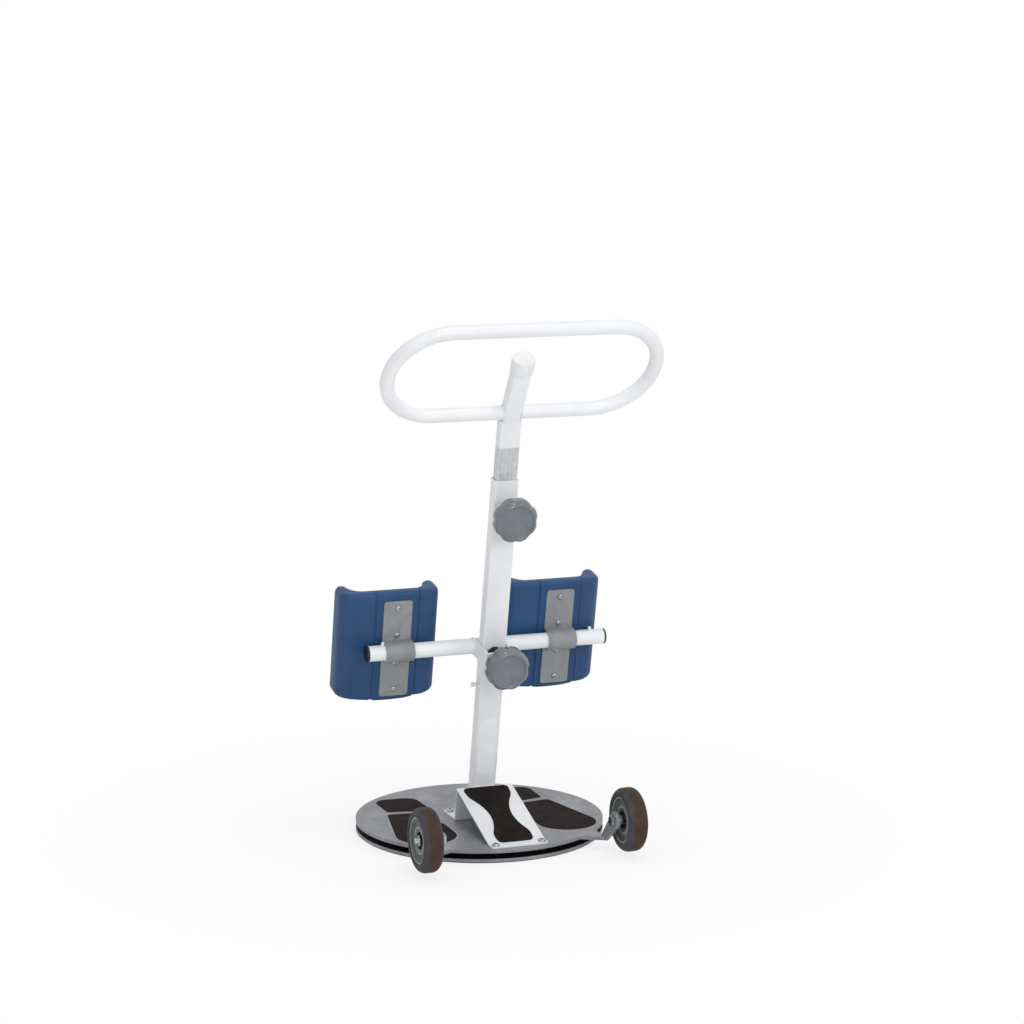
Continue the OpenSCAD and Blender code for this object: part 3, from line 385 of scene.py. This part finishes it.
def makeFoamSkin():
    # moulded polyurethane foam with its own skin: soft blue satin with a fine leathery grain
    made, tree, shader, spot = newMaterial("blueFoamSkin",
                                           {"IOR": 1.45, "Sheen Weight": 0.05, "Sheen Roughness": 0.5})
    tone = addNode(tree, "ShaderNodeTexNoise", {"Scale": perMetre(padSkin["toneMm"]), "Detail": 3.0},
                   {"Vector": spot})
    tint = addNode(tree, "ShaderNodeValToRGB",
                   {"stops": [(0.3, linear(padSkin["dark"])), (0.7, linear(padSkin["light"]))]},
                   {"Fac": tone.outputs["Fac"]})
    grain = addNode(tree, "ShaderNodeTexVoronoi",
                    {"feature": "SMOOTH_F1", "Scale": perMetre(padSkin["grainMm"])}, {"Vector": spot})
    gloss = addNode(tree, "ShaderNodeMapRange", {"To Min": 0.46, "To Max": 0.62},
                    {"Value": grain.outputs["Distance"]})
    bump = addNode(tree, "ShaderNodeBump", {"Strength": 0.25, "Distance": padSkin["grainDepthMm"] * mm},
                   {"Height": grain.outputs["Distance"]})
    joinSockets(tree, shader, {"Base Color": tint.outputs["Color"], "Roughness": gloss.outputs["Result"],
                               "Normal": bump.outputs["Normal"]})
    return made


moulded = {"cloudMm": 22, "glossSpread": 0.07}


def makeMoulded(name, light, dark, grainMm, roughness, depthMm=0.12):
    # moulded plastic, rubber, film or fine powder coat: one even tone with a fine grain, drawn coarse to show
    made, tree, shader, spot = newMaterial(name, {"IOR": 1.5})
    cloud = addNode(tree, "ShaderNodeTexNoise", {"Scale": perMetre(moulded["cloudMm"]), "Detail": 3.0},
                    {"Vector": spot})
    tint = addNode(tree, "ShaderNodeValToRGB", {"stops": [(0.3, linear(dark)), (0.7, linear(light))]},
                   {"Fac": cloud.outputs["Fac"]})
    grain = addNode(tree, "ShaderNodeTexNoise", {"Scale": perMetre(grainMm), "Detail": 2.0}, {"Vector": spot})
    spread = moulded["glossSpread"]
    gloss = addNode(tree, "ShaderNodeMapRange", {"To Min": roughness - spread, "To Max": roughness + spread},
                    {"Value": grain.outputs["Fac"]})
    bump = addNode(tree, "ShaderNodeBump", {"Strength": 0.35, "Distance": depthMm * mm},
                   {"Height": grain.outputs["Fac"]})
    joinSockets(tree, shader, {"Base Color": tint.outputs["Color"], "Roughness": gloss.outputs["Result"],
                               "Normal": bump.outputs["Normal"]})
    return made


def makeMetal(name, light, dark, roughness, glossSpread=0.08, cloudMm=5):
    # plated, polished, ground or sintered metal: clear metal tone with a softly clouded gloss
    made, tree, shader, spot = newMaterial(name, {"Metallic": 1.0})
    cloud = addNode(tree, "ShaderNodeTexNoise", {"Scale": perMetre(cloudMm), "Detail": 3.0}, {"Vector": spot})
    tint = addNode(tree, "ShaderNodeValToRGB", {"stops": [(0.3, linear(dark)), (0.7, linear(light))]},
                   {"Fac": cloud.outputs["Fac"]})
    gloss = addNode(tree, "ShaderNodeMapRange",
                    {"To Min": roughness - glossSpread, "To Max": roughness + glossSpread},
                    {"Value": cloud.outputs["Fac"]})
    joinSockets(tree, shader, {"Base Color": tint.outputs["Color"], "Roughness": gloss.outputs["Result"]})
    return made


whitePowder = makeWhitePowderCoat()
greyEnamel = makeGreyEnamel("greyEnamel")
# the floor disc's top face in the gap is painted black as painted shade
discEnamel = makeGreyEnamel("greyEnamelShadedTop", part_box("floor_disc")[1][2])
galvanised = makeGalvanisedTube()
gritTapeBlack = makeGritTape()
foamSkin = makeFoamSkin()
# light tone, dark tone, grain in mm, roughness, depth of the grain in mm
knobNylon = makeMoulded("greyNylonMoulded", "#777c82", "#6a6f75", 1.1, 0.17, 0.04)
strapPowder = makeMoulded("greyPowderCoatFine", "#939598", "#85878a", 1.4, 0.5)
blackNylon = makeMoulded("blackNylonMoulded", "#1f1f20", "#171718", 1.1, 0.38)
whitePolypropylene = makeMoulded("whitePolypropylene", "#eff0f1", "#e8e9ea", 2.0, 0.34)
naturalNylon = makeMoulded("naturalNylon", "#e6e2d6", "#d9d4c6", 1.4, 0.45)
cageNylon = makeMoulded("amberNylonCage", "#c9b98b", "#b7a677", 1.4, 0.45)
rubberSheet = makeMoulded("blackRubberSheet", "#2d2b2b", "#222121", 1.6, 0.8, 0.3)
labelVinyl = makeMoulded("plainVinylLabel", "#f3f5f7", "#eef0f3", 16.0, 0.3, 0.01)
gripFilm = makeMoulded("paleFilmEdge", "#c3c4c5", "#b2b3b5", 2.0, 0.5)
# light tone, dark tone, roughness, spread of the gloss, size of its clouds in mm
zincPlate = makeMetal("brightZincPlate", "#d3d5d6", "#aeb1b3", 0.3, 0.1, 7)
bearingSteel = makeMetal("groundBearingSteel", "#c9cbcd", "#b4b6b8", 0.22)
brightSteel = makeMetal("polishedStainlessSteel", "#b3b7ba", "#979b9e", 0.2)
blackOxide = makeMetal("blackOxideSteel", "#2b2c2d", "#1f2021", 0.5)
bronze = makeMetal("sinteredBronze", "#b8935a", "#a07c46", 0.4)
brass = makeMetal("turnedBrass", "#c4a45e", "#ad8d49", 0.3)
print("materials made")


# finish of each solid: material, and width in mm that its sharp edges are eased by
finishes = {
    "floor_mat": (rubberSheet, 0.3), "floor_disc": (discEnamel, 0.7), "lower_race": (bearingSteel, 0.2),
    "pivot_stud": (zincPlate, 0.3), "pivot_washer": (zincPlate, 0.2), "pivot_nut": (zincPlate, 0.4),
    "ball_cage": (cageNylon, 0), "bearing_balls": (bearingSteel, 0),
    "turning_plate": (greyEnamel, 0.7), "upper_race": (bearingSteel, 0.2), "pivot_bush": (bronze, 0.2),
    "pedal_bracket": (whitePowder, 0.9), "pedal_grip": (gritTapeBlack, 0.15),
    "bracket_screws": (zincPlate, 0.3), "bracket_nuts": (blackOxide, 0.3),
    "mast": (whitePowder, 0.4), "mast_boss": (whitePowder, 0.6), "mast_pins": (whitePowder, 0.5),
    "axle_bolts": (brightSteel, 0.5), "axle_nuts": (brightSteel, 0), "axle_spacers": (zincPlate, 0.3),
    "post": (galvanised, 0.3), "post_plug": (blackNylon, 0.3), "neck": (whitePowder, 0.5),
    "neck_cap": (whitePolypropylene, 1.8), "handle_loop": (whitePowder, 0),
    "upper_tip": (naturalNylon, 0.2), "upper_stud": (zincPlate, 0.3),
    "upper_knob": (knobNylon, 0.5), "upper_knob_cap": (knobNylon, 0.3),
    "crossbar": (whitePowder, 0.3), "crossbar_clamp": (whitePowder, 0.8), "clamp_boss": (whitePowder, 0.6),
    "crossbar_caps": (blackNylon, 1.0), "crossbar_pins": (whitePowder, 0.6),
    "pressure_disc": (blackNylon, 0.6), "lower_stud": (zincPlate, 0.3),
    "lower_knob": (knobNylon, 0.5), "lower_knob_cap": (knobNylon, 0.3),
}
for side, way in sideWays.items():
    finishes.update({
        side + "_sole_grip": (gritTapeBlack, 0.15), side + "_heel_grip": (gritTapeBlack, 0.15),
        side + "_tyre": (makeTyreRubber(side + "TyreRubber", way), 0.5),
        side + "_hub": (makeHubPlastic(side + "HubPlastic", way), 0.8), side + "_sleeve": (zincPlate, 0.2),
        side + "_bush": (naturalNylon, 0.2), side + "_strap": (strapPowder, 0.5),
        side + "_screws": (zincPlate, 0.3), side + "_inserts": (brass, 0.2), side + "_pad": (foamSkin, 0)})

# sheet pieces with screw holes, whose flat faces are joined before their edges are eased
sheetNodes = ("pedal_bracket", "left_strap", "right_strap", "turning_plate", "crossbar_clamp")
dressing = {"cornerGapMm": 0.002, "flatDegrees": 0.5, "sharpDegrees": 38, "segments": 2}


def joinCorners(piece):
    corners = piece.modifiers.new("joinCorners", "WELD")
    corners.merge_threshold = dressing["cornerGapMm"] * mm


def joinFlats(piece):
    flats = piece.modifiers.new("joinedFlats", "DECIMATE")
    flats.decimate_type = "DISSOLVE"
    flats.angle_limit = math.radians(dressing["flatDegrees"])


def easeEdges(piece, widthMm, sharpDegrees, segments):
    ease = piece.modifiers.new("easedEdges", "BEVEL")
    ease.width = widthMm * mm
    ease.segments = segments
    ease.limit_method = "ANGLE"
    ease.angle_limit = math.radians(sharpDegrees)
    return ease


def dressNode(name, made, easeMm):
    piece = nodes[name]
    piece.data.materials.clear()
    piece.data.materials.append(made)
    for face in piece.data.polygons:
        face.material_index = 0
    joinCorners(piece)
    if name in sheetNodes:
        joinFlats(piece)
    if easeMm:
        easeEdges(piece, easeMm, dressing["sharpDegrees"], dressing["segments"])


for name, (made, easeMm) in finishes.items():
    dressNode(name, made, easeMm)
print("solids dressed:", len(finishes))


# helpers for the pieces made here; points come in mm
pointGapMm = 0.0002


def smoothByAngle(mesh, degrees):
    mesh.polygons.foreach_set("use_smooth", [True] * len(mesh.polygons))
    mesh.set_sharp_from_angle(angle=math.radians(degrees))


def addPiece(name, points, faces, place, made, body, smooth=35):
    mesh = bpy.data.meshes.new(name)
    mesh.from_pydata([place @ (Vector(p) * mm) for p in points], [], faces)
    tidy = bmesh.new()
    tidy.from_mesh(mesh)
    bmesh.ops.remove_doubles(tidy, verts=tidy.verts, dist=pointGapMm * mm)
    bmesh.ops.recalc_face_normals(tidy, faces=tidy.faces)
    tidy.to_mesh(mesh)
    tidy.free()
    smoothByAngle(mesh, smooth)
    mesh.materials.append(made)
    piece = bpy.data.objects.new(name, mesh)
    scene.collection.objects.link(piece)
    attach(piece, body)
    return piece


def latheParts(profile, steps, radiusAt=None, base=0):
    # rings of a profile of (radius, height); a zero radius closes it with one point
    points, faces, rings = [], [], []
    for r, z in profile:
        if r == 0:
            rings.append([base + len(points)])
            points.append((0, 0, z))
            continue
        ring = []
        for i in range(steps):
            angle = 2 * math.pi * i / steps
            size = radiusAt(r, angle) if radiusAt else r
            ring.append(base + len(points))
            points.append((size * math.cos(angle), size * math.sin(angle), z))
        rings.append(ring)
    for low, high in zip(rings, rings[1:]):
        for i in range(steps):
            j = (i + 1) % steps
            if len(low) == 1:
                faces.append((low[0], high[j], high[i]))
            elif len(high) == 1:
                faces.append((low[i], low[j], high[0]))
            else:
                faces.append((low[i], low[j], high[j], high[i]))
    return points, faces


def slabParts(outline, low, high):
    count = len(outline)
    points = [(x, y, low) for x, y in outline] + [(x, y, high) for x, y in outline]
    faces = [tuple(range(count))[::-1], tuple(range(count, 2 * count))]
    faces += [(i, (i + 1) % count, count + (i + 1) % count, count + i) for i in range(count)]
    return points, faces


def circle(radius, steps):
    turns = [2 * math.pi * i / steps for i in range(steps)]
    return [(radius * math.cos(a), radius * math.sin(a)) for a in turns]


def roundedBox(halfX, halfY, corner, steps=6):
    outline = []
    for quarter, (cx, cy) in enumerate([(1, 1), (-1, 1), (-1, -1), (1, -1)]):
        for i in range(steps + 1):
            a = math.pi / 2 * (quarter + i / steps)
            outline.append((cx * (halfX - corner) + corner * math.cos(a),
                            cy * (halfY - corner) + corner * math.sin(a)))
    return outline


# knee pads: moulded foam, C-shaped, with two pressed lines down the back

pad = {"straps": {"left": -167, "right": 141}, "edgeMm": 5.0, "edgeDegrees": 40, "edgeSegments": 4,
       "voxelMm": 2.4, "smoothing": 5, "smoothShare": 0.5, "swellMm": 1.0, "backMm": 15.8,
       "panelHalfMm": 39.5, "stepMm": 1.6, "stepSoftMm": 0.6, "creaseMm": 3.4, "creaseHalfMm": 1.7,
       "fullToMm": 6, "fadeToMm": 14, "fill": 0.85}


def strapFrame(side):
    return barFrame @ moved(pad["straps"][side], 0, 0)


def softenedPad(source):
    # the solid with rounded edges, remeshed in even squares and smoothed
    scratch = bpy.data.objects.new("padScratch", source.data.copy())
    scene.collection.objects.link(scratch)
    joinCorners(scratch)
    joinFlats(scratch)
    rounded = easeEdges(scratch, pad["edgeMm"], pad["edgeDegrees"], pad["edgeSegments"])
    rounded.use_clamp_overlap = False
    remesh = scratch.modifiers.new("remesh", "REMESH")
    remesh.mode = "VOXEL"
    remesh.voxel_size = pad["voxelMm"] * mm
    soften = scratch.modifiers.new("soften", "SMOOTH")
    soften.factor = pad["smoothShare"]
    soften.iterations = pad["smoothing"]
    finer = scratch.modifiers.new("finer", "SUBSURF")
    finer.levels = 1
    bpy.context.view_layer.update()
    mesh = bpy.data.meshes.new_from_object(scratch.evaluated_get(bpy.context.evaluated_depsgraph_get()))
    bpy.data.objects.remove(scratch)
    return mesh


def makePad(side):
    mesh = softenedPad(nodes[side + "_pad"])
    mesh.name = side + "KneePad"
    place = strapFrame(side)
    back = place.inverted()
    facing = back.to_3x3()
    normals = [v.normal.copy() for v in mesh.vertices]
    for v, normal in zip(mesh.vertices, normals):
        flatBack = max(0.0, -(facing @ normal).y)  # the back stays flat on its strap
        local = (back @ (v.co + normal * pad["swellMm"] * mm * (1 - flatBack))) / mm
        depth = local.y - pad["backMm"]
        if depth < pad["fadeToMm"]:
            fade = 1 - max(0.0, depth - pad["fullToMm"]) / (pad["fadeToMm"] - pad["fullToMm"])
            away = abs(local.x) - pad["panelHalfMm"]  # past the middle panel, with a pressed line at its edge
            step = pad["stepMm"] / (1 + math.exp(-away / pad["stepSoftMm"]))
            crease = pad["creaseMm"] * math.exp(-(away / pad["creaseHalfMm"]) ** 2)
            local.y += fade * (step + crease)
        v.co = place @ (local * mm)
    mesh.materials.clear()
    mesh.materials.append(foamSkin)
    smoothByAngle(mesh, 180)  # no sharp edge anywhere
    piece = bpy.data.objects.new(side + "KneePad", mesh)
    scene.collection.objects.link(piece)
    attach(piece, side + "_knee_pad")
    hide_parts(side + "_pad")
    print(piece.name, len(mesh.vertices), "points")


for side in sideWays:
    makePad(side)


# clamp knobs: eight soft lobes round a dished face

knob = {"lobes": 8, "notchMm": 2.3, "notchPower": 1.8, "lobesFromMm": 32, "lobeRiseMm": 5, "steps": 192,
        "upperY": 38.5, "lowerY": 55.0,
        "profile": [(0, 0.0), (13.2, 0.0), (14.0, 0.8), (14.0, 11.2), (15.2, 12.3), (35.6, 12.5),
                    (38.0, 13.3), (39.4, 15.0), (40.0, 17.4), (40.0, 27.5), (39.6, 30.4), (38.6, 33.2),
                    (37.2, 35.6), (35.6, 37.6), (34.2, 38.8), (33.0, 39.5), (31.8, 39.85), (30.8, 39.9),
                    (30.0, 39.7), (29.4, 39.2), (29.0, 38.4), (28.6, 37.7), (27.9, 37.3), (26.5, 37.2),
                    (14.0, 37.4), (0, 37.5)]}


def lobeRadius(r, angle):
    if r < knob["lobesFromMm"]:
        return r
    reach = min(1.0, (r - knob["lobesFromMm"]) / knob["lobeRiseMm"])
    wave = (0.5 + 0.5 * math.cos(knob["lobes"] * angle)) ** knob["notchPower"]
    return r - knob["notchMm"] * reach * wave


def makeKnob(name, at, y, body, *replaced):
    points, faces = latheParts(knob["profile"], knob["steps"], lobeRadius)
    piece = addPiece(name, points, faces, mastFace(at, y), knobNylon, body, smooth=60)
    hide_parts(*replaced)


makeKnob("upperClampKnob", lean["upperKnobAt"], knob["upperY"], "upper_screw", "upper_knob", "upper_knob_cap")
makeKnob("lowerClampKnob", lean["barAt"], knob["lowerY"], "lower_screw", "lower_knob", "lower_knob_cap")
print("knobs made")


# wheel hubs: moulded rings round a sunk centre; half is radius and distance from the middle

hub = {"steps": 96,
       "half": [(7.3, 7.0), (13.8, 7.0), (15.0, 7.5), (15.4, 10.2), (16.1, 10.8), (20.0, 11.0), (21.2, 11.6),
                (22.2, 12.4), (23.8, 12.4), (24.8, 11.5), (26.4, 10.2), (32.6, 9.6), (34.4, 9.8),
                (35.6, 10.8), (37.0, 13.6), (37.9, 15.1), (38.8, 15.5), (40.6, 15.5), (41.3, 15.0),
                (41.5, 14.2)]}


def makeHub(side, way):
    loop = hub["half"] + [(r, -z) for r, z in hub["half"][::-1]]
    points, faces = latheParts(loop + loop[:1], hub["steps"])
    place = moved(way * wheelSpot["x"], wheelSpot["y"], wheelSpot["z"]) @ turned(90, "Y")
    piece = addPiece(side + "WheelHub", points, faces, place, finishes[side + "_hub"][0], side + "_wheel",
                     smooth=40)
    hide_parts(side + "_hub")


for side, way in sideWays.items():
    makeHub(side, way)
print("hubs made")


# screws with driven heads; a recess radius is a share of the drive's own outline

padScrew = {"heights": (-77.5, -26.5, 26.5, 77.5), "spins": (17, 48, 79, 110), "seatY": 13.3,
            "armHalfMm": 0.75, "armMm": 2.7, "steps": 64,
            "profile": [(0, -6.0), (2.5, -6.0), (2.5, 0.0), (5.2, 0.0), (5.25, 0.7), (5.0, 1.5), (4.4, 2.2),
                        (3.6, 2.7), (3.0, 2.9)],
            "recess": [(1.0, 2.86), (0.9, 2.2), (0.55, 1.2), (0, 1.0)]}
bracketScrew = {"spots": [(-43.5, -203.5), (43.5, -203.5), (-43.5, 36.5), (43.5, 36.5)],
                "spins": (11, 34, 57, 80), "seat": 27, "flatMm": 2.6, "steps": 48,
                "profile": [(0, -16.0), (4.0, -16.0), (4.0, 0.0), (7.3, 0.0), (7.5, 0.6), (7.3, 1.7),
                            (6.6, 3.0), (5.4, 4.0), (4.4, 4.4), (3.4, 4.5)],
                "recess": [(1.0, 4.45), (0.98, 2.2), (0, 1.8)]}


def crossRadius(angle):
    a = (angle + math.pi / 4) % (math.pi / 2) - math.pi / 4
    if abs(math.tan(a)) <= padScrew["armHalfMm"] / padScrew["armMm"]:
        return padScrew["armMm"] / math.cos(a)
    return padScrew["armHalfMm"] / abs(math.sin(a))


def hexRadius(angle):
    return bracketScrew["flatMm"] / math.cos((angle + math.pi / 6) % (math.pi / 3) - math.pi / 6)


def makeScrews(name, screw, seats, driveRadius, place, body, replaced):
    points, faces = [], []
    for seat, spin in zip(seats, screw["spins"]):
        part, partFaces = latheParts(screw["profile"] + screw["recess"], screw["steps"],
                                     lambda r, a: r * driveRadius(a) if r <= 1 else r, len(points))
        stand = seat @ turned(spin, "Z")
        points += [tuple((stand @ (Vector(p) * mm)) / mm) for p in part]
        faces += partFaces
    piece = addPiece(name, points, faces, place, brightSteel, body, smooth=40)
    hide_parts(replaced)


padSeats = [moved(0, padScrew["seatY"], height) @ turned(90, "X") for height in padScrew["heights"]]
bracketSeats = [moved(x, y, bracketScrew["seat"]) for x, y in bracketScrew["spots"]]
for side in sideWays:
    makeScrews(side + "PadScrews", padScrew, padSeats, crossRadius, strapFrame(side), side + "_knee_pad",
               side + "_screws")
makeScrews("bracketButtonScrews", bracketScrew, bracketSeats, hexRadius, Matrix.Identity(4), "turntable",
           "bracket_screws")
print("screws made")


# weld beads where tubes meet

weld = {"beadMm": 1.6, "slim": 0.8, "ripple": 0.1, "rippleMm": 2.6, "sides": 10, "steps": 72, "stepMm": 1.2,
        "acrossHint": (0.31, 0.53, 0.79),  # a direction that no bead runs along
        "handleRadius": 12.7, "handleX": 16.4, "barRadius": 14.2, "barX": 26.9,
        "bossRadius": 11.2, "mastBossY": 12.8, "clampBossY": 44.3,
        "footHalf": (22.4, 13.2), "footCorner": 3.5, "footPlace": (0, -0.7, 27.6), "footSize": 0.9}


def boxPath(halfX, halfY, corner):
    path = roundedBox(halfX, halfY, corner)
    dense = []
    for p, q in zip(path, path[1:] + path[:1]):
        parts = max(1, round((Vector(q) - Vector(p)).length / weld["stepMm"]))
        dense += [tuple(Vector(p).lerp(Vector(q), i / parts)) for i in range(parts)]
    return dense


def beadParts(outline, radius):
    # round bead along a closed flat path, with weld ripples
    path = [Vector((x, y, 0)) for x, y in outline]
    count, sides = len(path), weld["sides"]
    points, faces = [], []
    run = 0.0
    for i, p in enumerate(path):
        before, after = path[i - 1], path[(i + 1) % count]
        along = (after - before).normalized()
        across = along.cross(Vector(weld["acrossHint"])).normalized()
        up = along.cross(across)
        run += (p - before).length
        size = radius * (1 + weld["ripple"] * math.sin(2 * math.pi * run / weld["rippleMm"]))
        points += [tuple(p + across * x + up * y) for x, y in circle(size, sides)]
        j = (i + 1) % count
        for k in range(sides):
            m = (k + 1) % sides
            faces.append((i * sides + k, i * sides + m, j * sides + m, j * sides + k))
    return points, faces


def makeBead(name, outline, place, body, size=1.0):
    points, faces = beadParts(outline, weld["beadMm"] * size)
    addPiece(name, points, faces, place, whitePowder, body, smooth=60)


handleRing, barRing, bossRing = [circle(weld[key], weld["steps"])
                                 for key in ("handleRadius", "barRadius", "bossRadius")]
for side, way in sideWays.items():
    onHandle = loopFrame @ moved(way * weld["handleX"], 0, 0) @ turned(90, "Y")
    onBar = barFrame @ moved(way * weld["barX"], 0, 0) @ turned(90, "Y")
    makeBead(side + "HandleWeld", handleRing, onHandle, "handle")
    makeBead(side + "ClampWeld", barRing, onBar, "knee_bar", weld["slim"])
onMast = mastFace(lean["upperKnobAt"], weld["mastBossY"])
onClamp = mastFace(lean["barAt"], weld["clampBossY"])
footBox = boxPath(*weld["footHalf"], weld["footCorner"])
makeBead("mastBossWeld", bossRing, onMast, "turntable", weld["slim"])
makeBead("clampBossWeld", bossRing, onClamp, "knee_bar", weld["slim"])
makeBead("mastFootWeld", footBox, moved(*weld["footPlace"]), "turntable", weld["footSize"])
print("welds made")


# pale film that shows as a thin line round each grip; circles as shares of the plate's radius: x, y, size

gripEdge = {"marginMm": 1.1, "filmMm": 0.3, "plateRadius": 225, "steps": 64,
            "sole": [(0.50, 0.205, 0.036), (0.67, 0.225, 0.036), (0.595, -0.412, 0.242), (0.40, -0.17, 0.05)],
            "heel": [(0.575, 0.60, 0.105), (0.435, 0.587, 0.111), (0.645, 0.362, 0.03), (0.445, 0.325, 0.035),
                     (0.365, 0.40, 0.05)]}


def hullOf(points):
    points = sorted(set(points))
    halves = []
    for row in (points, points[::-1]):
        chain = []
        for p in row:
            while len(chain) > 1 and ((chain[-1][0] - chain[-2][0]) * (p[1] - chain[-2][1])
                                      - (chain[-1][1] - chain[-2][1]) * (p[0] - chain[-2][0])) <= 0:
                chain.pop()
            chain.append(p)
        halves += chain[:-1]
    return halves


def makeGripFilm(side, way, part):
    reach = gripEdge["plateRadius"]
    dots = []
    for sx, sy, sr in gripEdge[part]:
        edge = circle(sr * reach + gripEdge["marginMm"], gripEdge["steps"])
        dots += [(way * (sx * reach + x), sy * reach + y) for x, y in edge]
    points, faces = slabParts(hullOf(dots), lean["plateTop"], lean["plateTop"] + gripEdge["filmMm"])
    addPiece(side + part.capitalize() + "GripFilm", points, faces, Matrix.Identity(4), gripFilm, "turntable")


for side, way in sideWays.items():
    makeGripFilm(side, way, "sole")
    makeGripFilm(side, way, "heel")
print("grip films made")


# waisted grip on the pedal, cut with flowing corners

pedalGrip = {"footY": -195, "footZ": 27, "angle": 19.183, "fromMm": 2, "longMm": 174.55, "topHalf": 43,
             "footHalf": 33, "waistHalf": 20.5, "biteMm": 95, "cornerMm": 10, "softMm": 2.2, "thickMm": 0.8,
             "steps": 120}


def pedalHalfWidth(y):
    long, soft, corner = pedalGrip["longMm"], pedalGrip["softMm"], pedalGrip["cornerMm"]
    foot, top = pedalGrip["footHalf"], pedalGrip["topHalf"]
    straight = foot + (top - foot) * y / long
    bite = (foot + top) / 2 - pedalGrip["waistHalf"] - (y - long / 2) ** 2 / (2 * pedalGrip["biteMm"])
    half = straight - soft * math.log1p(math.exp(bite / soft))
    short = corner - min(y, long - y)
    if short > 0:
        half -= corner - math.sqrt(max(0.0, corner ** 2 - short ** 2))
    return half


def makePedalGrip():
    steps = pedalGrip["steps"]
    rows = [pedalGrip["longMm"] * (0.5 - 0.5 * math.cos(math.pi * i / steps)) for i in range(steps + 1)]
    outline = [(pedalHalfWidth(y), y) for y in rows] + [(-pedalHalfWidth(y), y) for y in rows[::-1]]
    points, faces = slabParts(outline, 0, pedalGrip["thickMm"])
    foot = moved(0, pedalGrip["footY"], pedalGrip["footZ"])
    place = foot @ turned(pedalGrip["angle"], "X") @ moved(0, pedalGrip["fromMm"], 0)
    piece = addPiece("pedalGripSheet", points, faces, place, gritTapeBlack, "turntable")
    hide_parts("pedal_grip")


makePedalGrip()
print("pedal grip made")


# plain label on the mast's face

label = {"widthMm": 31, "fromMm": 91, "toMm": 198, "cornerMm": 2.5, "thickMm": 0.15, "faceY": 12.5}


def makeLabel():
    middle, tall = (label["fromMm"] + label["toMm"]) / 2, label["toMm"] - label["fromMm"]
    outline = roundedBox(label["widthMm"] / 2, tall / 2, label["cornerMm"])
    points, faces = slabParts(outline, 0, label["thickMm"])
    addPiece("plainMastLabel", points, faces, mastFace(middle, label["faceY"]), labelVinyl, "turntable")


makeLabel()
print("label made")


# floor, light and white background

studio = {"floorHalf": 14.0, "floorDropMm": 0.4, "floorWhite": 0.96, "fadeFrom": 0.3, "fadeTo": 0.9,
          "whiteShare": 0.78, "world": 0.7, "aim": (0, 0, 0.4),
          "keyPower": 20, "keySize": 1.0, "keyPlace": (0.35, -1.3, 3.5),
          "fillPower": 34, "fillSize": 1.4, "fillPlace": (0.2, -4.4, 1.7)}


def seenDirectly(tree):
    # 1 where the eye, a gloss or a clear piece looks at the background, 0 where it only lights the object
    ray = addNode(tree, "ShaderNodeLightPath").outputs
    seen = addNode(tree, "ShaderNodeMath", {"operation": "MAXIMUM"},
                   {0: ray["Is Camera Ray"], 1: ray["Is Glossy Ray"]})
    either = addNode(tree, "ShaderNodeMath", {"operation": "MAXIMUM"},
                     {0: seen.outputs["Value"], 1: ray["Is Transmission Ray"]})
    return either.outputs["Value"]


def makePaperSweep():
    # seamless matt paper: pale grey under the object's shadow, fading into white
    made = bpy.data.materials.new("palePaperSweep")
    made.use_nodes = True
    tree = made.node_tree
    tree.nodes.clear()
    spot = addNode(tree, "ShaderNodeTexCoord").outputs["Object"]
    away = addNode(tree, "ShaderNodeVectorMath", {"operation": "LENGTH"}, {0: spot})
    fade = addNode(tree, "ShaderNodeMapRange",
                   {"From Min": studio["fadeFrom"], "From Max": studio["fadeTo"],
                    "To Min": studio["whiteShare"], "interpolation_type": "SMOOTHSTEP"},
                   {"Value": away.outputs["Value"]})
    share = addNode(tree, "ShaderNodeMath", {"operation": "MULTIPLY"},
                    {0: seenDirectly(tree), 1: fade.outputs["Result"]})
    paper = addNode(tree, "ShaderNodeBsdfDiffuse", {"Color": grey(studio["floorWhite"])})
    white = addNode(tree, "ShaderNodeEmission", {"Color": grey(1.0), "Strength": 1.0})
    mixed = addNode(tree, "ShaderNodeMixShader", {},
                    {0: share.outputs["Value"], 1: paper.outputs["BSDF"], 2: white.outputs["Emission"]})
    addNode(tree, "ShaderNodeOutputMaterial", {}, {"Surface": mixed.outputs["Shader"]})
    return made


def makeStage():
    mesh = bpy.data.meshes.new("studioFloor")
    h = studio["floorHalf"]
    mesh.from_pydata([(-h, -h, 0), (h, -h, 0), (h, h, 0), (-h, h, 0)], [], [(0, 1, 2, 3)])
    mesh.materials.append(makePaperSweep())
    floor = bpy.data.objects.new("studioFloor", mesh)
    floor.location.z = -studio["floorDropMm"] * mm
    scene.collection.objects.link(floor)


def makeWorld():
    world = bpy.data.worlds.new("studioWorld")
    scene.world = world
    world.use_nodes = True
    tree = world.node_tree
    tree.nodes.clear()
    power = addNode(tree, "ShaderNodeMapRange", {"To Min": studio["world"], "To Max": 1.0},
                    {"Value": seenDirectly(tree)})
    sky = addNode(tree, "ShaderNodeBackground", {"Color": grey(1.0)}, {"Strength": power.outputs["Result"]})
    addNode(tree, "ShaderNodeOutputWorld", {}, {"Surface": sky.outputs["Background"]})


def addSoftbox(name, place, size, power):
    data = bpy.data.lights.new(name, "AREA")
    data.shape = "DISK"
    data.size = size
    data.energy = power
    lamp = bpy.data.objects.new(name, data)
    lamp.location = place
    lamp.rotation_euler = (Vector(studio["aim"]) - Vector(place)).to_track_quat("-Z", "Y").to_euler()
    scene.collection.objects.link(lamp)


makeStage()
makeWorld()
addSoftbox("overheadSoftbox", studio["keyPlace"], studio["keySize"], studio["keyPower"])
addSoftbox("frontSoftbox", studio["fillPlace"], studio["fillSize"], studio["fillPower"])
scene.view_settings.view_transform = "Standard"
print("studio set")
